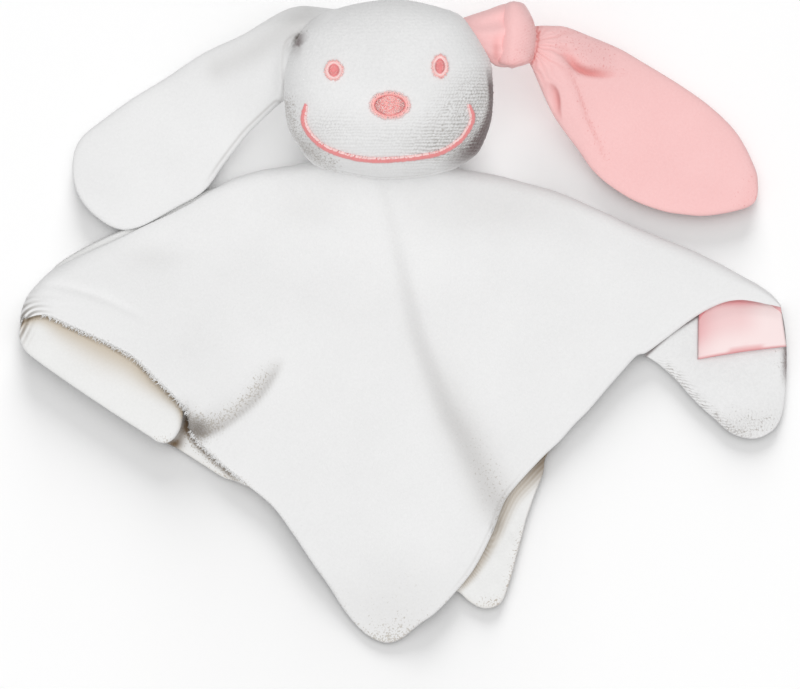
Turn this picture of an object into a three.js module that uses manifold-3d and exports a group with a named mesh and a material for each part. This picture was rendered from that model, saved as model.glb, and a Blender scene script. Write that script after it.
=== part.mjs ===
// A comforter cloth with a stuffed bunny head, lying face up on a flat surface.
// Millimetres. +X runs towards the pink ear, +Y towards the top of the head, +Z up to the face.
// The cloth's middle is sewn into the neck, and the cloth is folded in half along the line
// that runs from its left corner over the neck to its right corner.

import * as THREE from 'three';
import Module from 'manifold-3d';
import { mergeVertices } from 'three/addons/utils/BufferGeometryUtils.js';

const wasm = await Module();
wasm.setup();

// Cloth: two plies, short velour outside and looped terry inside
const clothSide = 280;
const velourThickness = 2;
const terryThickness = 1.4;
const plyGap = 0.35;
const neckRise = 11;
const neckSpread = 34;
const neckReach = 26;
const creaseHeight = 4.6;
const creaseRidge = 36;
const creaseFlank = 12;
const puffHeight = 5;
const puffWidth = 20;
const droopDelay = 12;
const droopLength = 20;
const tongueReach = 45;

// Gaps at the fold lines of the front corner and of the turned-under right corner
const cornerGap = 0.5;
const cornerTipWidth = 3;

// Label: a folded ribbon, sewn in at the right-hand edge
const labelLength = 36;
const labelWidth = 20;
const ribbonThickness = 0.5;
const ribbonGap = 0.5;
const labelHemGap = 0.8;

// Head
const headWidth = 87;
const headHeight = 73.4;
const headThickness = 62;
const headWall = 2;
const headRestFlat = 0.5;
const headSeamGap = 0.35;
const stuffingGap = 0.35;
const chinOverlap = 7.2;
const headClearance = 0.4;
const tuckClearance = 1;

// Embroidery
const stitchHeight = 0.9;
const stitchGap = 0.3;
const mouthStroke = 2.4;
const eyeRing = [8, 9.4];
const eyeCentre = [5.4, 6.4];
const eyeFill = [4.6, 5.6];
const noseRing = [16.2, 11.2];
const noseCentre = [12, 7.6];
const noseFill = [11.2, 6.8];

// Ears
const whiteEarLength = 100;
const whiteEarThickness = 8;
const whiteEarRise = 17;
const whiteEarDroop = 45;
const whiteRootThickness = 14;
const pinkBladeLength = 108;
const pinkBladeThickness = 8;
const pinkBladeRise = 20;
const pinkBladeDroop = 42;
const bladeDrop = 4.9;
const earPanelGap = 0.35;
const earEdgeThickness = 1.4;
const earHingeGap = 0.4;
const knotWidth = 17;
const knotHeight = 28;
const knotThickness = 25;
const knotLevel = 28;
const knotRise = 2;
const pinkRootLength = 7.5;
const pinkRootThickness = 15;
const pinkSeamLength = 25;
const pinkSeamThickness = 10;

// Colours
const white = '#ececea';
const terryWhite = '#e6e5e1';
const cream = '#f3efe8';
const pink = '#f8c4c6';
const stitchPink = '#ec8f93';
const ribbonPink = '#f9dcdc';

const halfDiagonal = clothSide / Math.SQRT2;
const cornerCreaseShare = 0.621;
const cornerCrease = halfDiagonal * cornerCreaseShare;
const clothThickness = velourThickness + plyGap + terryThickness;
const foldedThickness = 2 * clothThickness + plyGap;
const foldRadius = foldedThickness / 2;
const headHalf = new THREE.Vector3(headWidth / 2, headHeight / 2, headThickness / 2);
const headCentre = new THREE.Vector3(0, headHalf.y - chinOverlap, headHalf.z - headRestFlat);
const headPlanPower = 2.7;
const headSidePower = 2.6;
const headTiltShare = 0.045;

// Outlines seen from above, as shares of the cloth's half diagonal from its middle
const foldEdgeShares = [
  [-0.778, -0.312], [-0.728, -0.252], [-0.653, -0.204], [-0.569, -0.150], [-0.473, -0.094],
  [-0.367, -0.045], [-0.267, -0.013], [-0.155, 0.006], [0, 0.004], [0.110, 0.014],
  [0.216, 0.005], [0.333, -0.032], [0.450, -0.090], [0.556, -0.146], [0.662, -0.198],
  [0.757, -0.241], [0.835, -0.285],
];
const frontHemShares = [
  [-0.778, -0.352], [-0.713, -0.314], [-0.628, -0.348], [-0.537, -0.417], [-0.441, -0.527],
  [-0.346, -0.635], [-0.278, -0.725], [-0.208, -0.811], [-0.123, -0.913], [-0.076, -0.984],
  [0, -1.020], [0.036, -1.007], [0.089, -0.951], [0.157, -0.876], [0.206, -0.814],
  [0.252, -0.725], [0.301, -0.650], [0.339, -0.607], [0.407, -0.525], [0.471, -0.447],
  [0.556, -0.379], [0.655, -0.318], [0.736, -0.288], [0.835, -0.318],
];
const backHemShares = [
  [-0.778, -0.345], [-0.696, -0.400], [-0.590, -0.475], [-0.505, -0.535], [-0.460, -0.600],
  [-0.409, -0.625], [-0.312, -0.685], [-0.187, -0.746], [-0.038, -0.828], [0.089, -0.899],
  [0.142, -0.927], [0.216, -0.942], [0.248, -0.920], [0.269, -0.860], [0.297, -0.752],
  [0.322, -0.655], [0.344, -0.590], [0.407, -0.515], [0.471, -0.437], [0.556, -0.369],
  [0.655, -0.308], [0.736, -0.278], [0.835, -0.308],
];
const supportHemShares = [
  [-0.778, -0.345], [-0.460, -0.600], [-0.312, -0.685], [-0.187, -0.746], [-0.038, -0.828],
  [0.089, -0.899], [0.216, -0.960], [0.835, -1.100],
];
const tongueHemShares = [
  [-0.737, -0.390], [-0.696, -0.425], [-0.590, -0.505], [-0.505, -0.571],
  [-0.470, -0.598], [-0.450, -0.590], [-0.440, -0.562],
];
const tongueHiddenShare = 0.035;
const rightCornerShares = [
  [0.560, -0.399], [0.600, -0.431], [0.662, -0.489], [0.736, -0.554], [0.783, -0.576],
  [0.823, -0.563], [0.844, -0.515],
];
const rightCornerEndShares = [0.848, -0.345];

// The mouth runs through these places, as shares of the head's half width and half height
const mouthShares = [
  [-0.797, -0.24], [-0.815, -0.41], [-0.772, -0.56], [-0.663, -0.71], [-0.480, -0.83],
  [-0.230, -0.90], [0, -0.92], [0.240, -0.90], [0.480, -0.82], [0.680, -0.68],
  [0.785, -0.52], [0.806, -0.40], [0.775, -0.26],
];
const leftEyeShares = [-0.519, 0.100];
const rightEyeShares = [0.497, 0.155];
const noseShares = [0.019, -0.315];

// Each ear's two edges, as shares of its length: out from the hinge line, and along it
const whiteEarUpperShares = [
  [0, -0.172], [0.166, -0.139], [0.305, -0.109], [0.449, -0.066], [0.591, -0.028],
  [0.710, 0.008], [0.795, 0.046], [0.865, 0.106], [0.909, 0.182], [0.928, 0.248],
  [0.936, 0.285],
];
const whiteEarLowerShares = [
  [0, 0.168], [0.094, 0.249], [0.180, 0.306], [0.274, 0.355], [0.369, 0.403],
  [0.516, 0.436], [0.652, 0.468], [0.782, 0.474], [0.864, 0.439], [0.919, 0.357],
  [0.934, 0.322],
];
const pinkBladeUpperShares = [
  [0, 0.083], [0.074, 0.087], [0.151, 0.078], [0.249, 0.043], [0.385, -0.018],
  [0.540, -0.113], [0.669, -0.208], [0.754, -0.310], [0.820, -0.417], [0.840, -0.508],
  [0.842, -0.545],
];
const pinkBladeLowerShares = [
  [0, -0.086], [0.027, -0.163], [0.074, -0.256], [0.144, -0.354], [0.229, -0.457],
  [0.346, -0.559], [0.470, -0.609], [0.618, -0.626], [0.715, -0.618], [0.793, -0.603],
  [0.822, -0.585],
];

// Value of an outline at x, straight between its points, in the outline's own shares
function outlineAt(shares, x) {
  if (x <= shares[0][0]) return shares[0][1];
  for (let i = 1; i < shares.length; i += 1) {
    const [x1, y1] = shares[i];
    if (x <= x1) {
      const [x0, y0] = shares[i - 1];
      return y0 + (y1 - y0) * (x - x0) / (x1 - x0);
    }
  }
  return shares[shares.length - 1][1];
}

const clothY = (shares, x) => halfDiagonal * outlineAt(shares, x / halfDiagonal);

function steps(from, to, count) {
  return [...Array(count + 1).keys()].map((i) => from + (to - from) * i / count);
}

const smooth = THREE.MathUtils.smoothstep;

function bump(distance, width) {
  return Math.exp(-((distance / width) ** 2));
}

// Closed geometry with its faces turned outwards
function outward(positions, faces) {
  const geometry = new THREE.BufferGeometry();
  geometry.setAttribute('position', new THREE.Float32BufferAttribute(positions, 3));
  const point = (i) => new THREE.Vector3().fromArray(positions, 3 * i);
  let volume = 0;
  for (let f = 0; f < faces.length; f += 3) {
    const cross = point(faces[f + 1]).cross(point(faces[f + 2]));
    volume += point(faces[f]).dot(cross);
  }
  if (volume < 0) faces.reverse();
  geometry.setIndex(faces);
  geometry.computeVertexNormals();
  return geometry;
}

// A body between two grids of points, its edges closed; wrapped grids run round in a ring
function sheetSolid(upper, lower, wrapped = false) {
  const columns = upper.length;
  const rows = upper[0].length;
  const positions = [];
  for (const grid of [upper, lower]) {
    for (const column of grid) column.forEach((p) => positions.push(p.x, p.y, p.z));
  }
  const at = (side, i, k) => side * columns * rows + (i % columns) * rows + k;
  const faces = [];
  const quad = (a, b, c, d) => faces.push(a, b, c, a, c, d);
  const spans = wrapped ? columns : columns - 1;
  for (let i = 0; i < spans; i += 1) {
    for (let k = 0; k < rows - 1; k += 1) {
      quad(at(0, i, k), at(0, i + 1, k), at(0, i + 1, k + 1), at(0, i, k + 1));
      quad(at(1, i, k), at(1, i, k + 1), at(1, i + 1, k + 1), at(1, i + 1, k));
    }
    quad(at(0, i, 0), at(1, i, 0), at(1, i + 1, 0), at(0, i + 1, 0));
    const last = rows - 1;
    quad(at(0, i, last), at(0, i + 1, last), at(1, i + 1, last), at(1, i, last));
  }
  if (!wrapped) {
    for (let k = 0; k < rows - 1; k += 1) {
      const end = columns - 1;
      quad(at(0, 0, k), at(0, 0, k + 1), at(1, 0, k + 1), at(1, 0, k));
      quad(at(0, end, k), at(1, end, k), at(1, end, k + 1), at(0, end, k + 1));
    }
  }
  return outward(positions, faces);
}

// A body skinned over rings of points, closed at each end by a fan to that end's middle point
function skinSolid(rings, startPole, endPole) {
  const count = rings[0].length;
  const positions = [];
  rings.forEach((ring) => ring.forEach((p) => positions.push(p.x, p.y, p.z)));
  positions.push(startPole.x, startPole.y, startPole.z, endPole.x, endPole.y, endPole.z);
  const start = rings.length * count;
  const end = start + 1;
  const faces = [];
  for (let i = 0; i < count; i += 1) {
    const next = (i + 1) % count;
    faces.push(start, i, next);
    for (let r = 0; r < rings.length - 1; r += 1) {
      const a = r * count + i;
      const b = r * count + next;
      faces.push(a, a + count, b, b, a + count, b + count);
    }
    const base = (rings.length - 1) * count;
    faces.push(end, base + next, base + i);
  }
  return outward(positions, faces);
}

function middleOf(ring) {
  const middle = new THREE.Vector3();
  ring.forEach((p) => middle.add(p));
  return middle.divideScalar(ring.length);
}

function toManifold(geometry) {
  const bare = new THREE.BufferGeometry();
  bare.setAttribute('position', geometry.getAttribute('position'));
  bare.setIndex(geometry.getIndex());
  const merged = mergeVertices(bare);
  const mesh = new wasm.Mesh({
    numProp: 3,
    vertProperties: new Float32Array(merged.getAttribute('position').array),
    triVerts: new Uint32Array(merged.getIndex().array),
  });
  return new wasm.Manifold(mesh);
}

// What is left of a body outside another one
function cutBy(geometry, cutter) {
  const mesh = toManifold(geometry).subtract(toManifold(cutter)).getMesh();
  const cut = new THREE.BufferGeometry();
  cut.setAttribute('position', new THREE.Float32BufferAttribute(mesh.vertProperties, 3));
  cut.setIndex(Array.from(mesh.triVerts));
  cut.computeVertexNormals();
  return cut;
}

function namedMesh(name, geometry, color, roughness) {
  const material = new THREE.MeshStandardMaterial({ color, roughness, metalness: 0 });
  const mesh = new THREE.Mesh(geometry, material);
  mesh.name = name;
  return mesh;
}

// Head: a stuffed form, square-shouldered in plan and rounder from the side

function power(value, exponent) {
  return Math.sign(value) * Math.abs(value) ** exponent;
}

// A ring of the head's surface at a height share from -1 to 1, moved inwards by inset
function headRing(level, inset, count, lowest) {
  const spread = (1 - Math.abs(level) ** headSidePower) ** (1 / headSidePower);
  return steps(0, 2 * Math.PI, count).slice(1).map((angle) => {
    const x = (headHalf.x - inset) * spread * power(Math.cos(angle), 2 / headPlanPower);
    const y = (headHalf.y - inset) * spread * power(Math.sin(angle), 2 / headPlanPower);
    const z = (headHalf.z - inset) * level;
    return new THREE.Vector3(x, y + x * headTiltShare, Math.max(z + headCentre.z, lowest))
      .add(new THREE.Vector3(0, headCentre.y, 0));
  });
}

// How far out a place lies in the plan of the head swollen by a margin: 1 at its outline
function headPlanShare(x, y, margin) {
  const across = Math.abs(x) / (headHalf.x + margin);
  const up = Math.abs(y - headCentre.y - x * headTiltShare) / (headHalf.y + margin);
  return (across ** headPlanPower + up ** headPlanPower) ** (1 / headPlanPower);
}

// Half the thickness of the head, swollen by a margin, over a place in its plan
function headHalfDepth(x, y, margin = 0) {
  const share = Math.min(headPlanShare(x, y, margin), 1);
  return (headHalf.z + margin) * (1 - share ** headSidePower) ** (1 / headSidePower);
}

function facePoint(x, y, lift) {
  return new THREE.Vector3(x, y, headCentre.z + headHalfDepth(x, y) + lift);
}

// How far the head reaches in a plan direction from the frame's origin
function headReach(direction) {
  const dual = headPlanPower / (headPlanPower - 1);
  const x = headHalf.x * Math.abs(direction.x + direction.y * headTiltShare);
  const y = headHalf.y * Math.abs(direction.y);
  return headCentre.y * direction.y + (x ** dual + y ** dual) ** (1 / dual);
}

const headSegments = 28;
const stuffingSegments = 16;
const cupLevelShares = [0, 0.2, 0.4, 0.6, 0.77, 0.9, 0.975];

// One half of the head's cover: a cup whose rim is the side seam
function headPanel(side) {
  const seam = side * headSeamGap / 2 / headHalf.z;
  const levels = cupLevelShares.map((share) => (share === 0 ? seam : side * share));
  const outer = levels.map((level) => headRing(level, 0, headSegments, 0)).reverse();
  const inner = levels.map((level) => headRing(level, headWall, headSegments, headWall));
  inner[0].forEach((p, i) => p.setZ(outer[outer.length - 1][i].z));
  const outerTop = headCentre.z + side * headHalf.z;
  const innerTop = headCentre.z + side * (headHalf.z - headWall);
  const outerPole = new THREE.Vector3(0, headCentre.y, Math.max(outerTop, 0));
  const innerPole = new THREE.Vector3(0, headCentre.y, Math.max(innerTop, headWall));
  return skinSolid([...outer, ...inner], outerPole, innerPole);
}

// The whole head as one form, moved inwards by inset and cut flat at a lowest height
function headFilled(inset, lowest, count) {
  const shares = [...cupLevelShares.slice(1).map((share) => -share).reverse(), ...cupLevelShares];
  const rings = shares.map((level) => headRing(level, inset, count, lowest));
  const bottom = Math.max(headCentre.z - headHalf.z + inset, lowest);
  const startPole = new THREE.Vector3(0, headCentre.y, bottom);
  const endPole = new THREE.Vector3(0, headCentre.y, headCentre.z + headHalf.z - inset);
  return skinSolid(rings, startPole, endPole);
}

const stuffingInset = headWall + stuffingGap;
const headStuffing = () => headFilled(stuffingInset, stuffingInset, stuffingSegments);

// Embroidery: satin stitches raised on the face panel

const patchSegments = 14;
const ringSegments = 16;
const mouthSegments = 30;

const ellipsePoint = (centre, width, height, angle) => [
  centre[0] + width / 2 * Math.cos(angle),
  centre[1] + height / 2 * Math.sin(angle),
];

const facePlace = (shares) => [
  headHalf.x * shares[0],
  headCentre.y + headHalf.y * shares[1],
];

function stitchedPatch(shares, width, height) {
  const centre = facePlace(shares);
  const around = steps(0, 2 * Math.PI, patchSegments).slice(1);
  const ring = (share, lift) => around.map((angle) => {
    const [x, y] = ellipsePoint(centre, width * share, height * share, angle);
    return facePoint(x, y, lift);
  });
  const top = stitchGap + stitchHeight;
  const rings = [ring(0.5, stitchGap), ring(1, stitchGap), ring(1, top), ring(0.5, top)];
  return skinSolid(rings, facePoint(...centre, stitchGap), facePoint(...centre, top));
}

function stitchedRing(shares, outerSize, innerSize) {
  const centre = facePlace(shares);
  const around = steps(0, 2 * Math.PI, ringSegments).slice(1);
  const grid = (lift) => around.map((angle) => [innerSize, outerSize].map(([width, height]) => {
    const [x, y] = ellipsePoint(centre, width, height, angle);
    return facePoint(x, y, lift);
  }));
  return sheetSolid(grid(stitchGap + stitchHeight), grid(stitchGap), true);
}

function mouthStitch() {
  const places = mouthShares.map((shares) => new THREE.Vector3(...facePlace(shares), 0));
  const curve = new THREE.CatmullRomCurve3(places);
  const grid = (lift) => steps(0, 1, mouthSegments).map((t) => {
    const middle = curve.getPoint(t);
    const along = curve.getTangent(t);
    const side = new THREE.Vector3(-along.y, along.x, 0).multiplyScalar(mouthStroke / 2);
    return [-1, 1].map((end) => {
      const place = middle.clone().addScaledVector(side, end);
      return facePoint(place.x, place.y, lift);
    });
  });
  return sheetSolid(grid(stitchGap + stitchHeight), grid(stitchGap));
}

// Cloth: heights of the upper half over a place in plan

// The crease that runs from the neck to the front corner bends towards the right. It is the crest
// of a ridge that falls softly to its left and steeply to its right.
const creaseStartShare = -0.025;
const creaseBendShare = 0.41;
const creaseStartHeightShare = 0.3;
const creaseCornerHeightShare = 0.45;
const creaseGrowthShares = [0.07, 0.44];
const creaseLowerShares = [0.42, 0.62];
const creaseEndShares = [0.66, 0.85];
const puffStartShares = [-0.44, -0.50];
const puffEndShares = [-0.20, -0.32];

function creaseRise(x, y) {
  const down = -y / halfDiagonal;
  const offset = x - halfDiagonal * (creaseStartShare + creaseBendShare * down * down);
  const growth = creaseStartHeightShare
    + (1 - creaseStartHeightShare) * smooth(down, ...creaseGrowthShares);
  const lower = 1 - (1 - creaseCornerHeightShare) * smooth(down, ...creaseLowerShares);
  const along = growth * lower * (1 - smooth(down, ...creaseEndShares));
  const section = offset < 0 ? bump(offset, creaseRidge) : 1 - smooth(offset, 0, creaseFlank);
  return creaseHeight * along * section;
}

function distanceToLine(x, y, startShares, endShares) {
  const start = new THREE.Vector2(...startShares).multiplyScalar(halfDiagonal);
  const span = new THREE.Vector2(...endShares).multiplyScalar(halfDiagonal).sub(start);
  const place = new THREE.Vector2(x, y).sub(start);
  const along = THREE.MathUtils.clamp(place.dot(span) / span.lengthSq(), 0, 1);
  return place.addScaledVector(span, -along).length();
}

// How far the upper half is lifted by the corner that is tucked in under it
function tongueLift(x, y) {
  const inside = y - clothY(frontHemShares, x);
  const endX = tongueHemShares[tongueHemShares.length - 1][0] * halfDiagonal;
  const hidden = tongueHiddenShare * halfDiagonal;
  const inwards = 1 - smooth(inside, hidden + velourThickness, hidden + tongueReach);
  const alongIt = 1 - smooth(x, endX + velourThickness, endX + tongueReach * tongueSideShare);
  return (clothThickness + plyGap) * inwards * alongIt;
}

// The upper half lifts off the lower one between one fold radius inside the fold edge and liftFull
// of them. What is tucked in starts tuckStart of them inside it.
const tongueSideShare = 0.5;
const liftFull = 4;
const tuckStart = 4.4;

// Top surface of the folded cloth's upper half
function clothTop(x, y) {
  const rest = clothY(supportHemShares, x) - droopDelay;
  const support = (clothThickness + plyGap) * smooth(y, rest - droopLength, rest);
  const neck = neckRise * bump(x, neckSpread) * bump(y, neckReach);
  const puff = puffHeight * bump(distanceToLine(x, y, puffStartShares, puffEndShares), puffWidth);
  const inset = smooth(clothY(foldEdgeShares, x) - y, foldRadius, foldRadius * liftFull);
  const lifted = tongueLift(x, y) + creaseRise(x, y) + puff;
  const height = support + clothThickness + lifted * inset;
  const underHead = headCentre.z - headHalfDepth(x, y, tuckClearance);
  return headPlanShare(x, y, tuckClearance) < 1 ? Math.min(height + neck, underHead) : height + neck;
}

// The front's points crowd towards the fold edge, where the cloth tucks under the chin
const edgeCrowding = 1.6;
const clothLeft = foldEdgeShares[0][0] * halfDiagonal;
const clothRight = foldEdgeShares[foldEdgeShares.length - 1][0] * halfDiagonal;
const cornerEndShares = [-0.348, 0.322];
const [cornerLeft, cornerRight] = cornerEndShares.map((share) => share * halfDiagonal);

// Counts of faces along and across the cloth
const wingSteps = 7;
const middleSteps = 5;
const frontSteps = 11;
const turnSteps = 4;
const backSteps = 5;
const cornerSteps = 6;
const tongueSteps = 11;
const rightCornerSteps = 10;

// One ply of the folded cloth, from the front hem over the fold edge to the back hem.
// Depth is how far the ply lies below the cloth's outer face.
function foldedPly(depth, thickness) {
  const columns = [
    ...steps(clothLeft, cornerLeft, wingSteps),
    ...steps(cornerLeft, 0, middleSteps).slice(1),
    ...steps(0, cornerRight, middleSteps).slice(1),
    ...steps(cornerRight, clothRight, wingSteps).slice(1),
  ];
  const surface = (below) => columns.map((x) => {
    const edge = clothY(foldEdgeShares, x) - foldRadius;
    const hem = Math.max(clothY(frontHemShares, x), -cornerCrease + cornerGap);
    const edgeTop = clothTop(x, edge);
    const front = steps(1, 0, frontSteps).map((share) => {
      const y = edge + (hem - edge) * share ** edgeCrowding;
      return new THREE.Vector3(x, y, clothTop(x, y) - below);
    });
    const turn = steps(0, Math.PI, turnSteps).slice(1, -1).map((angle) => new THREE.Vector3(
      x,
      edge + (foldRadius - below) * Math.sin(angle),
      edgeTop / 2 + (edgeTop / 2 - below) * Math.cos(angle),
    ));
    const back = steps(edge, clothY(backHemShares, x), backSteps)
      .map((y) => new THREE.Vector3(x, y, below));
    return [...front, ...turn, ...back];
  });
  return sheetSolid(surface(depth), surface(depth + thickness));
}

// One ply of the front corner, past its fold line
function cornerPly(depth, thickness) {
  const columns = [
    ...steps(cornerLeft + cornerTipWidth, 0, cornerSteps),
    ...steps(0, cornerRight - cornerTipWidth, cornerSteps).slice(1),
  ];
  const surface = (below) => columns.map((x) => {
    const hem = clothY(frontHemShares, x);
    return steps(hem, -cornerCrease, cornerSteps)
      .map((y) => new THREE.Vector3(x, y, clothTop(x, y) - below));
  });
  return sheetSolid(surface(depth), surface(depth + thickness));
}

// The left corner, tucked in between the two halves with its rounded end showing
function tonguePly(level, thickness) {
  const left = tongueHemShares[0][0] * halfDiagonal;
  const right = tongueHemShares[tongueHemShares.length - 1][0] * halfDiagonal;
  const surface = (z) => steps(left, right, tongueSteps).map((x) => {
    const outer = clothY(tongueHemShares, x);
    const hidden = clothY(frontHemShares, x) + tongueHiddenShare * halfDiagonal;
    const inner = Math.min(hidden, clothY(foldEdgeShares, x) - foldRadius * tuckStart);
    return steps(outer, inner, turnSteps).map((y) => new THREE.Vector3(x, y, z));
  });
  return sheetSolid(surface(level + thickness), surface(level));
}

// The right corner, turned under, shows below the hem
function rightCornerPly(level, thickness) {
  const start = rightCornerShares[0][0] * halfDiagonal;
  const end = rightCornerEndShares[0] * halfDiagonal;
  const surface = (z) => steps(start, end, rightCornerSteps).map((x) => {
    const hem = Math.min(clothY(frontHemShares, x), clothY(backHemShares, x));
    const outer = Math.min(clothY(rightCornerShares, x), hem - cornerTipWidth - cornerGap);
    return steps(outer, hem - cornerGap, backSteps).map((y) => new THREE.Vector3(x, y, z));
  });
  return sheetSolid(surface(level + thickness), surface(level));
}

// The ribbon runs left from its sewn edge, folds and comes back underneath
const labelCornerShares = [0.842, -0.318];
const labelFoldShares = [0.644, -0.330];
const ribbonSteps = 4;

function labelRibbon() {
  const corner = new THREE.Vector2(...labelCornerShares).multiplyScalar(halfDiagonal);
  const direction = new THREE.Vector2(...labelFoldShares).multiplyScalar(halfDiagonal)
    .sub(corner)
    .normalize();
  const acrossIt = new THREE.Vector2(-direction.y, direction.x);
  corner.addScaledVector(acrossIt, labelHemGap);
  const loop = ribbonThickness * 2 + ribbonGap;
  const level = clothThickness + plyGap + loop / 2;
  const radius = loop / 2;
  const path = (inset) => [
    ...steps(0, labelLength - radius, ribbonSteps).map((along) => [along, radius - inset]),
    ...steps(0, Math.PI, ribbonSteps).slice(1, -1).map((angle) => [
      labelLength - radius + (radius - inset) * Math.sin(angle),
      (radius - inset) * Math.cos(angle),
    ]),
    ...steps(labelLength - radius, 0, ribbonSteps).map((along) => [along, inset - radius]),
  ];
  const at = (across, [along, up]) => new THREE.Vector3(
    corner.x + direction.x * along + acrossIt.x * across,
    corner.y + direction.y * along + acrossIt.y * across,
    level + up,
  );
  const surface = (inset) => steps(0, labelWidth, 2)
    .map((across) => path(inset).map((station) => at(across, station)));
  return sheetSolid(surface(0), surface(ribbonThickness));
}

// Ears

const planDirection = (degrees) => new THREE.Vector2(
  Math.cos(THREE.MathUtils.degToRad(degrees)),
  Math.sin(THREE.MathUtils.degToRad(degrees)),
);

// The plan line that an ear hinges on: its middle, the way out from it and the way along it
function hingeLine(middle, out) {
  const along = new THREE.Vector2(-out.y, out.x);
  return { middle, out, along };
}

function touchingHead(degrees, slide) {
  const out = planDirection(degrees);
  const line = hingeLine(out.clone().multiplyScalar(headReach(out) + headClearance), out);
  line.middle.addScaledVector(line.along, slide);
  return line;
}

const whiteEarAngle = 196;
const whiteSlideShare = -1.477;
const whiteHinge = touchingHead(whiteEarAngle, headHalf.y * whiteSlideShare);
const pinkEarAngle = 35.6;
const pinkSlideShare = 0.53;
const pinkSeam = touchingHead(pinkEarAngle, headHalf.y * pinkSlideShare);
const knotCentre = new THREE.Vector3(
  pinkSeam.middle.x + pinkRootLength + knotWidth / 2,
  pinkSeam.middle.y + knotRise,
  knotLevel,
);
const bladeHinge = hingeLine(
  new THREE.Vector2(knotCentre.x + knotWidth / 2 + earHingeGap, knotCentre.y - bladeDrop),
  planDirection(0),
);

function earPlace(line, length, [out, along]) {
  return line.middle.clone()
    .addScaledVector(line.out, out * length)
    .addScaledVector(line.along, along * length);
}

// An ear thins towards its tip, and comes down to the table along a curve of this power
const earTipShare = 0.25;
const earTaper = 1.6;
const droopPower = 1.5;
const earSteps = 6;

// Both panels of an ear: each is flat on the other's side and swells on its own
function earPanels(line, ear) {
  const across = steps(-1, 1, earSteps);
  const count = ear.upperShares.length - 1;
  const grid = (side, swollen) => ear.upperShares.map((upperShare, i) => {
    const upper = earPlace(line, ear.length, upperShare);
    const lower = earPlace(line, ear.length, ear.lowerShares[i]);
    const reach = upper.clone().lerp(lower, 0.5).distanceTo(line.middle);
    const droop = Math.max(1 - Math.max(reach - ear.rise / 2, 0) / ear.droopLength, 0);
    const level = ear.thickness / 2 + ear.rise * droop ** droopPower;
    const taper = Math.min(1, earTaper * (1 - i / count) + earTipShare);
    const full = ear.thickness / 2 * taper;
    return across.map((share) => {
      const place = upper.clone().lerp(lower, (share + 1) / 2);
      const swell = earEdgeThickness + (full - earEdgeThickness) * Math.sqrt(1 - share * share);
      const lift = swollen ? Math.max(swell, earEdgeThickness) : earPanelGap / 2;
      return new THREE.Vector3(place.x, place.y, Math.max(level + side * lift, 0));
    });
  });
  return [1, -1].map((side) => sheetSolid(grid(side, true), grid(side, false)));
}

// A soft stub between two edges, each station an oval ring standing across the way it runs
function softStub(stations) {
  const around = steps(0, 2 * Math.PI, patchSegments).slice(1);
  const rings = stations.map(({ upper, lower, level, thickness }) => around.map((angle) => {
    const place = upper.clone().lerp(lower, 0.5 + 0.5 * Math.cos(angle));
    return new THREE.Vector3(place.x, place.y, level + thickness / 2 * Math.sin(angle));
  }));
  return skinSolid(rings, middleOf(rings[0]), middleOf(rings[rings.length - 1]));
}

// Where the white ear's root leaves the head and where it passes its outline: upper and lower edge
const whiteRootStartShares = [[-0.40, 0.86], [-0.80, 0.10]];
const whiteRootMiddleShares = [[-0.76, 1.02], [-1.00, 0.06]];

const headCutter = headFilled(-headClearance, -headThickness, headSegments);

function whiteEarRoot() {
  const end = (edge) => earPlace(whiteHinge, whiteEarLength, edge)
    .addScaledVector(whiteHinge.out, -earHingeGap);
  const endLevel = whiteEarThickness / 2 + whiteEarRise;
  const station = ([upper, lower], level, thickness) => ({ upper, lower, level, thickness });
  const places = (shares) => shares.map((pair) => new THREE.Vector2(...facePlace(pair)));
  const ends = [end(whiteEarUpperShares[0]), end(whiteEarLowerShares[0])];
  const middleLevel = (headCentre.z + endLevel) / 2;
  const stub = softStub([
    station(places(whiteRootStartShares), headCentre.z, whiteRootThickness),
    station(places(whiteRootMiddleShares), middleLevel, whiteRootThickness),
    station(ends, endLevel, whiteEarThickness),
  ]);
  return cutBy(stub, headCutter);
}

// A knot: a swollen ring of cloth whose rounded sides face the root and the blade
const knotSegments = 18;
const knotPower = 2.6;
const knotEndShare = 0.92;
const rootHeightShare = 0.4;

function knotForm(swell) {
  const around = steps(0, 2 * Math.PI, knotSegments).slice(1);
  const rings = steps(-knotEndShare, knotEndShare, earSteps).map((share) => around.map((angle) => {
    const full = (1 - Math.abs(share) ** knotPower) ** (1 / knotPower);
    return new THREE.Vector3(
      knotCentre.x + (knotWidth / 2 + swell) * share,
      knotCentre.y + (knotHeight / 2 + swell) * full * Math.cos(angle),
      knotCentre.z + (knotThickness / 2 + swell) * full * Math.sin(angle),
    );
  }));
  const pole = (side) => knotCentre.clone().setX(knotCentre.x + side * (knotWidth / 2 + swell));
  return skinSolid(rings, pole(-1), pole(1));
}

function pinkEarRoot() {
  const seamEnd = (side) => pinkSeam.middle.clone()
    .addScaledVector(pinkSeam.along, side * pinkSeamLength / 2);
  const knotEnd = (side) => new THREE.Vector2(
    knotCentre.x,
    knotCentre.y + side * knotHeight * rootHeightShare,
  );
  const stub = softStub([
    { upper: seamEnd(1), lower: seamEnd(-1), level: headCentre.z, thickness: pinkSeamThickness },
    { upper: knotEnd(1), lower: knotEnd(-1), level: knotLevel, thickness: pinkRootThickness },
  ]);
  return cutBy(stub, knotForm(headClearance));
}

const headCover = 0.95;
const toy = new THREE.Group();

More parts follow.
